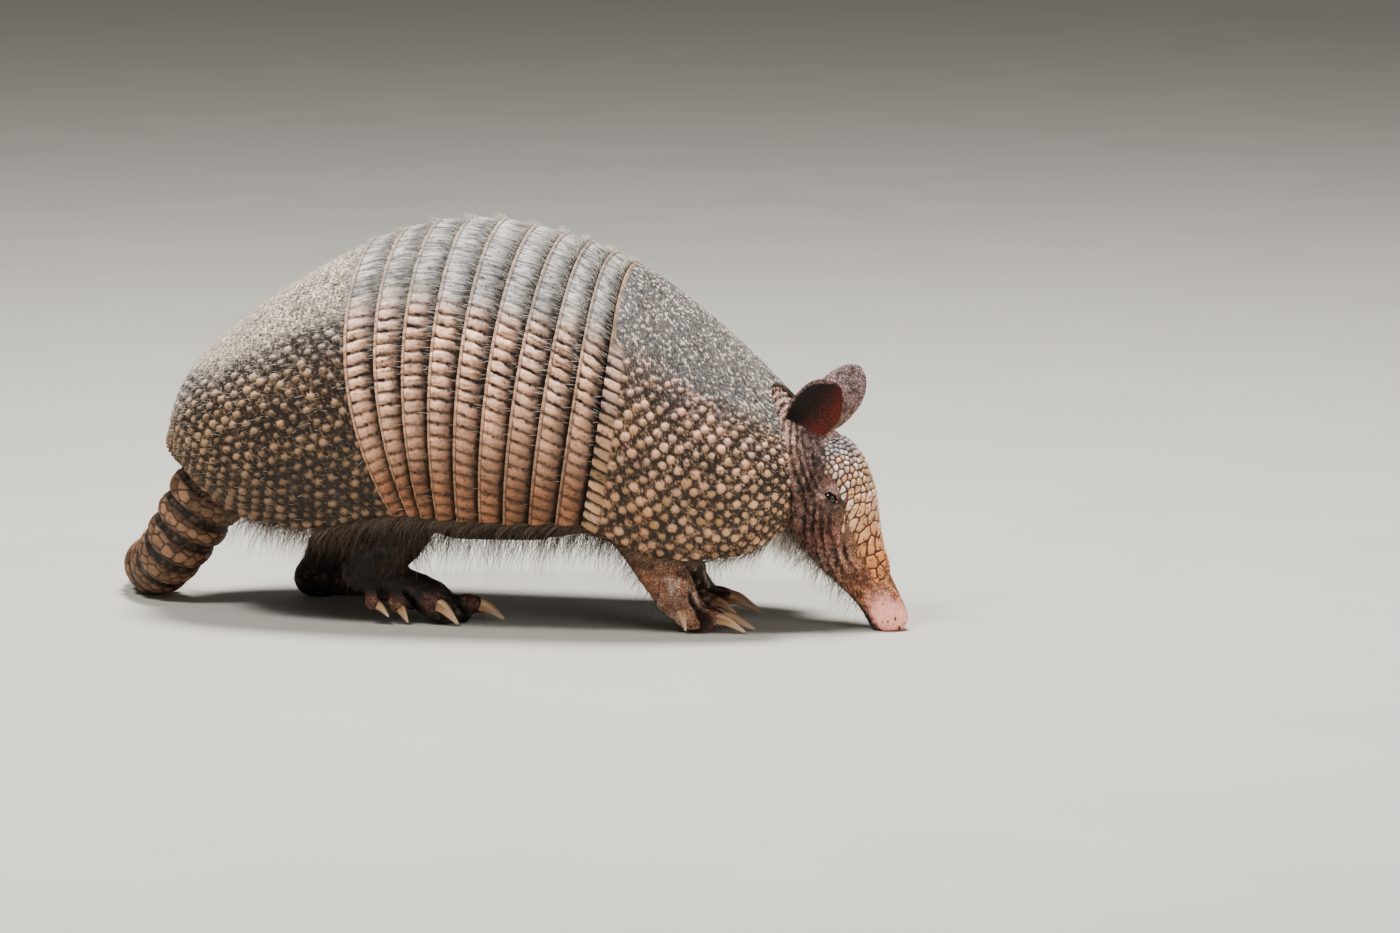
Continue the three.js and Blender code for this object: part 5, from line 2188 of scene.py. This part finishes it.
    def colour(self, points: Array, places: Places) -> Array:
        """Colour and wetness of the skin.

        Args:
            points: vertices.
            places: where they lie on the head.

        Returns:
            Linear colour and wetness.
        """
        fine, broad = noise(points, 1.6, 91), noise(points, 16, 92)
        tip = places.t - 0.1 * ramp(-places.angle, 15, 75) + 0.03 * broad + 0.03 * fine
        pink = ramp(tip, 0.57, 0.72)
        rind = blend("#59403b", "#a1827b", ramp(fine, -0.7, 0.7)) * (1 + 0.25 * broad[:, None])
        colour = layered(
            self.body_colour(points, fine, broad),
            (self.face_colour(points, places, fine, broad, pink), places.head),
            (blend(rind, "#a06c54", 0.5 * ramp(-points[:, 2], -116, -104)), places.rind),
            (blend("#120400", "#641c04", places.forward**1.3), places.hollow),
        )
        wet = 0.9 * pink * places.head + 0.4 * ramp(from_eyes(points), 7, 4)
        return np.concatenate([colour, wet[:, None]], axis=1)


@dataclass
class Eyes:
    """The eyeballs: dark wet beads in their sockets."""

    rows: int = 25
    columns: int = 40

    def build(self) -> None:
        """Makes both eyeballs: spheres as grids of latitude and longitude."""
        down, turn = np.meshgrid(
            np.linspace(0.06, np.pi - 0.06, self.rows), circle(self.columns), indexing="ij"
        )
        ball = np.stack([np.sin(down) * np.cos(turn), np.sin(down) * np.sin(turn), np.cos(down)], -1)
        for side in Side:
            surface = closed_tube(eye_centre(side) + ball[::-1] * EYE_RADIUS)
            shade = blend("#0d0806", "#24140d", ramp(np.abs(surface.points[:, 2] % 2 - 1), 0, 1))
            name = side.name.lower()
            surface.make(f"eyeball_{name}", EYE_FINISH, shade, "eye", [f"eye_{name}"])


# ---------------------------------------------------------------- hair


@dataclass
class Coat:
    """Hairs of one kind, joined into one piece: three-sided, tapering and bent once.

    length and width are in millimetres, drop is how far the tip sinks as a share of the length, and spread
    how untidily the hairs lie.
    """

    name: str
    length: tuple[float, float]
    width: float
    drop: float
    spread: float
    light: str
    dark: str
    seed: int
    slot: str = "skin"

    def grow(self, roots: Array, lie: Array, chart: Array) -> None:
        """Makes the hairs: each a ring of three vertices at the root, one half way and a tip.

        Args:
            roots: where the hairs stand.
            lie: the way each points, at any length.
            chart: each root's place in the unwrap of what it stands on, from 0 to 1.
        """
        rng = np.random.default_rng(self.seed)
        count = len(roots)
        aim = unit(unit(lie) + self.spread * rng.normal(size=(count, 3)))
        length = rng.uniform(*self.length, count)[:, None]
        side = unit(np.cross(aim, rng.normal(size=(count, 3))))
        other = np.cross(aim, side)
        fall = np.array([0, 0, -1.0]) * self.drop * length
        middle, tip = roots + aim * length * 0.55 + fall * 0.3, roots + aim * length + fall
        for place in (middle, tip):
            place[:, 2] = np.maximum(place[:, 2], 0.3)
        ring = [np.cos(a) * side + np.sin(a) * other for a in circle(3)]
        thick = self.width * rng.uniform(0.7, 1.2, count)[:, None] / 2
        start = roots - aim * 0.5
        points = np.stack(
            [start + r * thick for r in ring] + [middle + r * thick * 0.7 for r in ring] + [tip], 1
        )
        base = np.arange(count)[:, None] * 7
        sides = np.concatenate([base + [i, (i + 1) % 3, (i + 1) % 3 + 3, i + 3] for i in range(3)])
        ends = np.concatenate([base + [i + 3, (i + 1) % 3 + 3, 6] for i in range(3)] + [base + [2, 1, 0]])
        patch = np.array([[0, 0], [1, 0], [0.5, 1], [0, 0.5], [1, 0.5], [0.5, 0.9], [0.5, 0.5]])
        uv = (chart * 0.99)[:, None] + patch * PATCH_SIZE
        tone = blend(self.dark, self.light, rng.uniform(0, 1, count) ** 0.7)
        tone = np.repeat(tone, 7, axis=0) * np.tile([0.7, 0.7, 0.7, 1, 1, 1, 1.1], count)[:, None]
        surface = Surface(
            points.reshape(-1, 3), [Patch(sides, sides), Patch(ends, ends)], uv.reshape(-1, 2)
        )
        surface.make(self.name, HAIR_FINISH, tone, self.slot)


@dataclass
class SkinHair:
    """Sparse hair over the soft parts."""

    skin: Skin

    def build(self) -> None:
        """Makes the hair of the belly, legs, chin, cheeks and feet.

        The number of hairs on a vertex follows its weight, a product of ramps over position and normal.
        Belly hair hangs down and back, leg hair down, chin hair down and back.
        """
        places = self.skin.places(self.skin.surface.points)
        t, angle = places.t, places.angle
        (x, _, z), (out_x, out_y, out_z) = self.skin.surface.points.T, self.skin.normals.T
        belly = (
            ramp(z, 76, 62) * ramp(z, 34, 44) * ramp(-out_z, -0.15, 0.5)
            * ramp(x, -150, -120) * ramp(x, 150, 120)
        )
        leg = (
            ramp(z, 78, 60) * ramp(z, 14, 30) * ramp(x, 140, 130)
            * ramp(np.abs(out_x) + np.abs(out_y), 0.4, 0.8)
        )
        chin = (1 - 0.75 * ramp(x, 150, 180)) * ramp(angle, 34, 62) * ramp(t, 0.68, 0.5)
        chin = chin * ramp(x, 138, 152) * ramp(z, 96, 84)
        cheek = ramp(angle, -10, 20) * ramp(t, 0.75, 0.5) * ramp(x, 152, 160) * ramp(z, 100, 96)
        foot = ramp(z, 24, 16) * ramp(z, 4, 8) * ramp(x, 150, 130)
        coats = (
            Coat("belly_hair", (7, 22), 0.22, 0.2, 0.35, "#85705f", "#170f0a", 101),
            Coat("leg_hair", (4, 13), 0.2, 0.15, 0.35, "#6d5540", "#120b07", 102),
            Coat("chin_hair", (6, 16), 0.3, 0.15, 0.4, "#f2ead8", "#8a7660", 103),
            Coat("cheek_hair", (2, 5.5), 0.17, 0.1, 0.35, "#d0ab92", "#1d100b", 104),
            Coat("foot_hair", (1.5, 3.5), 0.17, 0.1, 0.2, "#8a7762", "#2e2018", 105),
        )
        plans = (
            (belly, 4600, (-0.35, 0, -1), 0.5), (leg, 3000, (-0.15, 0, -1), 0.45),
            (chin, 620, (-0.35, 0, -1), 0.5), (cheek, 1300, (0.25, 0, -1), 0.3),
            (foot, 1200, (0.6, 0, -0.8), 0.25),
        )
        for coat, (weight, count, lie, out) in zip(coats, plans):
            self.patch(coat, weight, count, np.array(lie), out)

    def patch(self, coat: Coat, weight: Array, count: int, lie: Array, out: float) -> None:
        """Grows one kind of hair over the skin, at vertices chosen at random by weight.

        The unwrap of the skin that the roots are charted on is its two sides laid flat next to each other.

        Args:
            coat: the kind of hair.
            weight: how likely a hair stands on each vertex.
            count: number of hairs.
            lie: the way they point along the skin.
            out: how much they point out of it.
        """
        rng = np.random.default_rng(coat.seed + 50)
        at = rng.choice(len(weight), count, p=weight / weight.sum())
        roots = self.skin.surface.points[at]
        x, y, z = roots.T
        chart = np.stack([(x + 180) / 800 + np.where(y > 0, 0.5, 0.0), (z + 0.3 * np.abs(y)) / 240], -1)
        coat.grow(roots, lie + out * self.skin.normals[at], np.clip(chart, 0, 1))


@dataclass
class ArmourHair:
    """Pale hairs from between the bands and scutes, thickest along the back."""

    def build(self) -> None:
        """Makes the hair at the bands' rear rims and the short fuzz of the two shields.

        A hair's foot is a point of the armour at a random rib and angle share; it points rearwards along
        the armour and a little outwards.
        """
        rng = np.random.default_rng(7)
        banded, fuzzed, edged = 5200, (3600, 7000), 2600
        band = rng.integers(0, BANDS + 1, banded)
        v = np.clip(rng.normal(0, 0.3, banded), -0.97, 0.97)
        u = 1 + band / BANDS - 0.006 * rng.uniform(0, 1, banded)
        coat = Coat("band_hair", (3, 7.5), 0.22, 0.05, 0.22, "#dcd5c8", "#8f8473", 111, "band")
        self.patch(coat, u, v, 0.5)
        u = np.concatenate([rng.uniform(0.05, 0.97, fuzzed[0]), rng.uniform(2.03, 2.95, fuzzed[1])])
        v = np.clip(rng.normal(0, 0.33, len(u)), -0.97, 0.97)
        coat = Coat("shield_fuzz", (1.4, 3.8), 0.18, 0.0, 0.25, "#ece3d6", "#9d958a", 112, "armour")
        self.patch(coat, u, v, 0.55)
        v = rng.choice([-1, 1], edged) * rng.uniform(0.985, 1.0, edged)
        u = rng.uniform(0.1, 2.9, edged)
        coat = Coat("edge_hair", (5, 14), 0.22, 0.7, 0.3, "#94806c", "#2a1d15", 113, "band")
        self.patch(coat, u, v, 0.1)

    def patch(self, coat: Coat, u: Array, v: Array, out: float) -> None:
        """Grows one kind of hair on the armour.

        Args:
            coat: the kind of hair.
            u: rib of each hair.
            v: angle share of each hair.
            out: how much they point out of the armour.
        """
        normal = CARAPACE.normal(u, v)
        back = unit(CARAPACE.point(u + 0.01, v) - CARAPACE.point(u - 0.01, v))
        coat.grow(
            CARAPACE.point(u, v) + normal * 0.4, back + out * normal, np.stack([(v + 1) / 2, u / 3], -1)
        )


# ---------------------------------------------------------------- studio


def posed(name: str, data: bpy.types.ID, back: Array, place: Array) -> bpy.types.Object:
    """Adds a lamp or camera to the scene, turned about the upright so that its back points one way.

    Args:
        name: the object's name.
        data: its lamp or camera data.
        back: unit vector from what it looks at to itself.
        place: where it stands, in metres.

    Returns:
        The new object.
    """
    made = bpy.data.objects.new(name, data)
    right = unit(np.cross([0.0, 0.0, 1.0], back))
    matrix = np.eye(4)
    matrix[:3] = np.stack([right, np.cross(back, right), back, place], -1)
    made.matrix_world = Matrix(matrix.tolist())
    bpy.context.scene.collection.objects.link(made)
    return made


@dataclass(frozen=True)
class Lamp:
    """A round lamp: name, place and diameter in metres, and power in watts."""

    name: str
    place: tuple[float, float, float]
    size: float
    power: float

    def build(self) -> None:
        """Hangs the lamp, aimed at the animal's middle."""
        data = bpy.data.lights.new(self.name, "AREA")
        data.shape = "DISK"
        data.size, data.energy = self.size, self.power
        posed(self.name, data, unit(np.array(self.place) - [0, 0, 0.09]), np.array(self.place))


@dataclass
class Studio:
    """Floor, lights and camera.

    turn and rise are the camera's angles in degrees, distance its distance, view_width the width of what
    it sees at the animal, aim the point it looks at, to the right and up in its view, and sensor its
    sensor's width, all in millimetres.
    """

    turn: float = 12.0
    rise: float = 8.0
    distance: float = 3500.0
    view_width: float = 728.0
    aim: tuple[float, float] = (104.0, 76.44)
    sensor: float = 36.0
    lamps: tuple[Lamp, ...] = (
        Lamp("key", (-0.7, -1.0, 2.0), 0.5, 40.0),
        Lamp("top", (0.1, 0.15, 2.2), 0.7, 106.0),
        Lamp("fill", (1.5, -1.2, 0.8), 1.0, 9.0),
    )

    def build(self) -> None:
        """Sets up the floor, the pale room, the lamps and the camera."""
        self.floor()
        world = bpy.data.worlds.new("room")
        world.use_nodes = True
        world.node_tree.nodes["Background"].inputs["Color"].default_value = (*linear("#e6e6e4"), 1.0)
        world.node_tree.nodes["Background"].inputs["Strength"].default_value = 0.2
        bpy.context.scene.world = world
        for lamp in self.lamps:
            lamp.build()
        self.camera()

    def camera(self) -> None:
        """Places the camera so that the view is view_width wide at the animal."""
        a, e = np.radians([self.turn, self.rise])
        right = np.array([np.cos(a), np.sin(a), 0])
        back = np.array([np.sin(a) * np.cos(e), -np.cos(a) * np.cos(e), np.sin(e)])
        target = right * self.aim[0] + np.cross(back, right) * self.aim[1]
        data = bpy.data.cameras.new("camera")
        data.sensor_width = self.sensor
        data.lens = self.sensor * self.distance / self.view_width
        data.clip_end = 100.0
        place = (target + back * self.distance + MODEL_SHIFT) / 1000
        bpy.context.scene.camera = posed("camera", data, back, place)

    def floor(self) -> None:
        """Lays a wide pale floor of smooth cement."""
        mesh = bpy.data.meshes.new("floor")
        far = 20.0
        mesh.from_pydata(
            [(-far, -far, 0), (far, -far, 0), (far, far, 0), (-far, far, 0)], [], [(0, 1, 2, 3)]
        )
        # Pale cement, trowelled smooth: matt with faint clouds, a quiet ground for the shadow.
        material = bpy.data.materials.new("pale_cement")
        material.use_nodes = True
        tree = material.node_tree
        shader = tree.nodes["Principled BSDF"]
        place = add_node(tree, "ShaderNodeTexCoord").outputs["Object"]
        cloud = add_node(tree, "ShaderNodeTexNoise", {"Vector": place}, in_Scale=9.0, in_Detail=6.0)
        low, high = (*linear("#bdb8ae"), 1.0), (*linear("#c8c3b9"), 1.0)
        tone = add_node(
            tree, "ShaderNodeMix", {0: cloud.outputs["Fac"]}, data_type="RGBA", in_6=low, in_7=high
        )
        tree.links.new(tone.outputs[2], shader.inputs["Base Color"])
        shader.inputs["Roughness"].default_value = 0.75
        mesh.materials.append(material)
        made = bpy.data.objects.new("floor", mesh)
        bpy.context.scene.collection.objects.link(made)


# ---------------------------------------------------------------- the whole


def main() -> None:
    """Builds every piece in order."""
    logging.basicConfig(level=logging.INFO, format="%(name)s %(message)s", stream=sys.stdout)
    Studio().build()
    gap = 0.002
    ShoulderShield("shell_shoulder", 0.0, 1.0 - gap).build()
    for i in range(BANDS):
        front, rear = 1 + i / BANDS + gap, 1 + (i + 1) / BANDS - gap
        Band(f"shell_band_{i + 1}", front, rear, seed=11 * i + 1).build()
    PelvicShield("shell_pelvis", 2.0 + gap, 3.0, seed=400).build()
    HeadShield().build()
    TailArmour().build()
    skin = Skin()
    skin.build()
    Eyes().build()
    for limb in LIMBS:
        limb.build_claws()
    SkinHair(skin).build()
    ArmourHair().build()


if __name__ == "__main__":
    main()
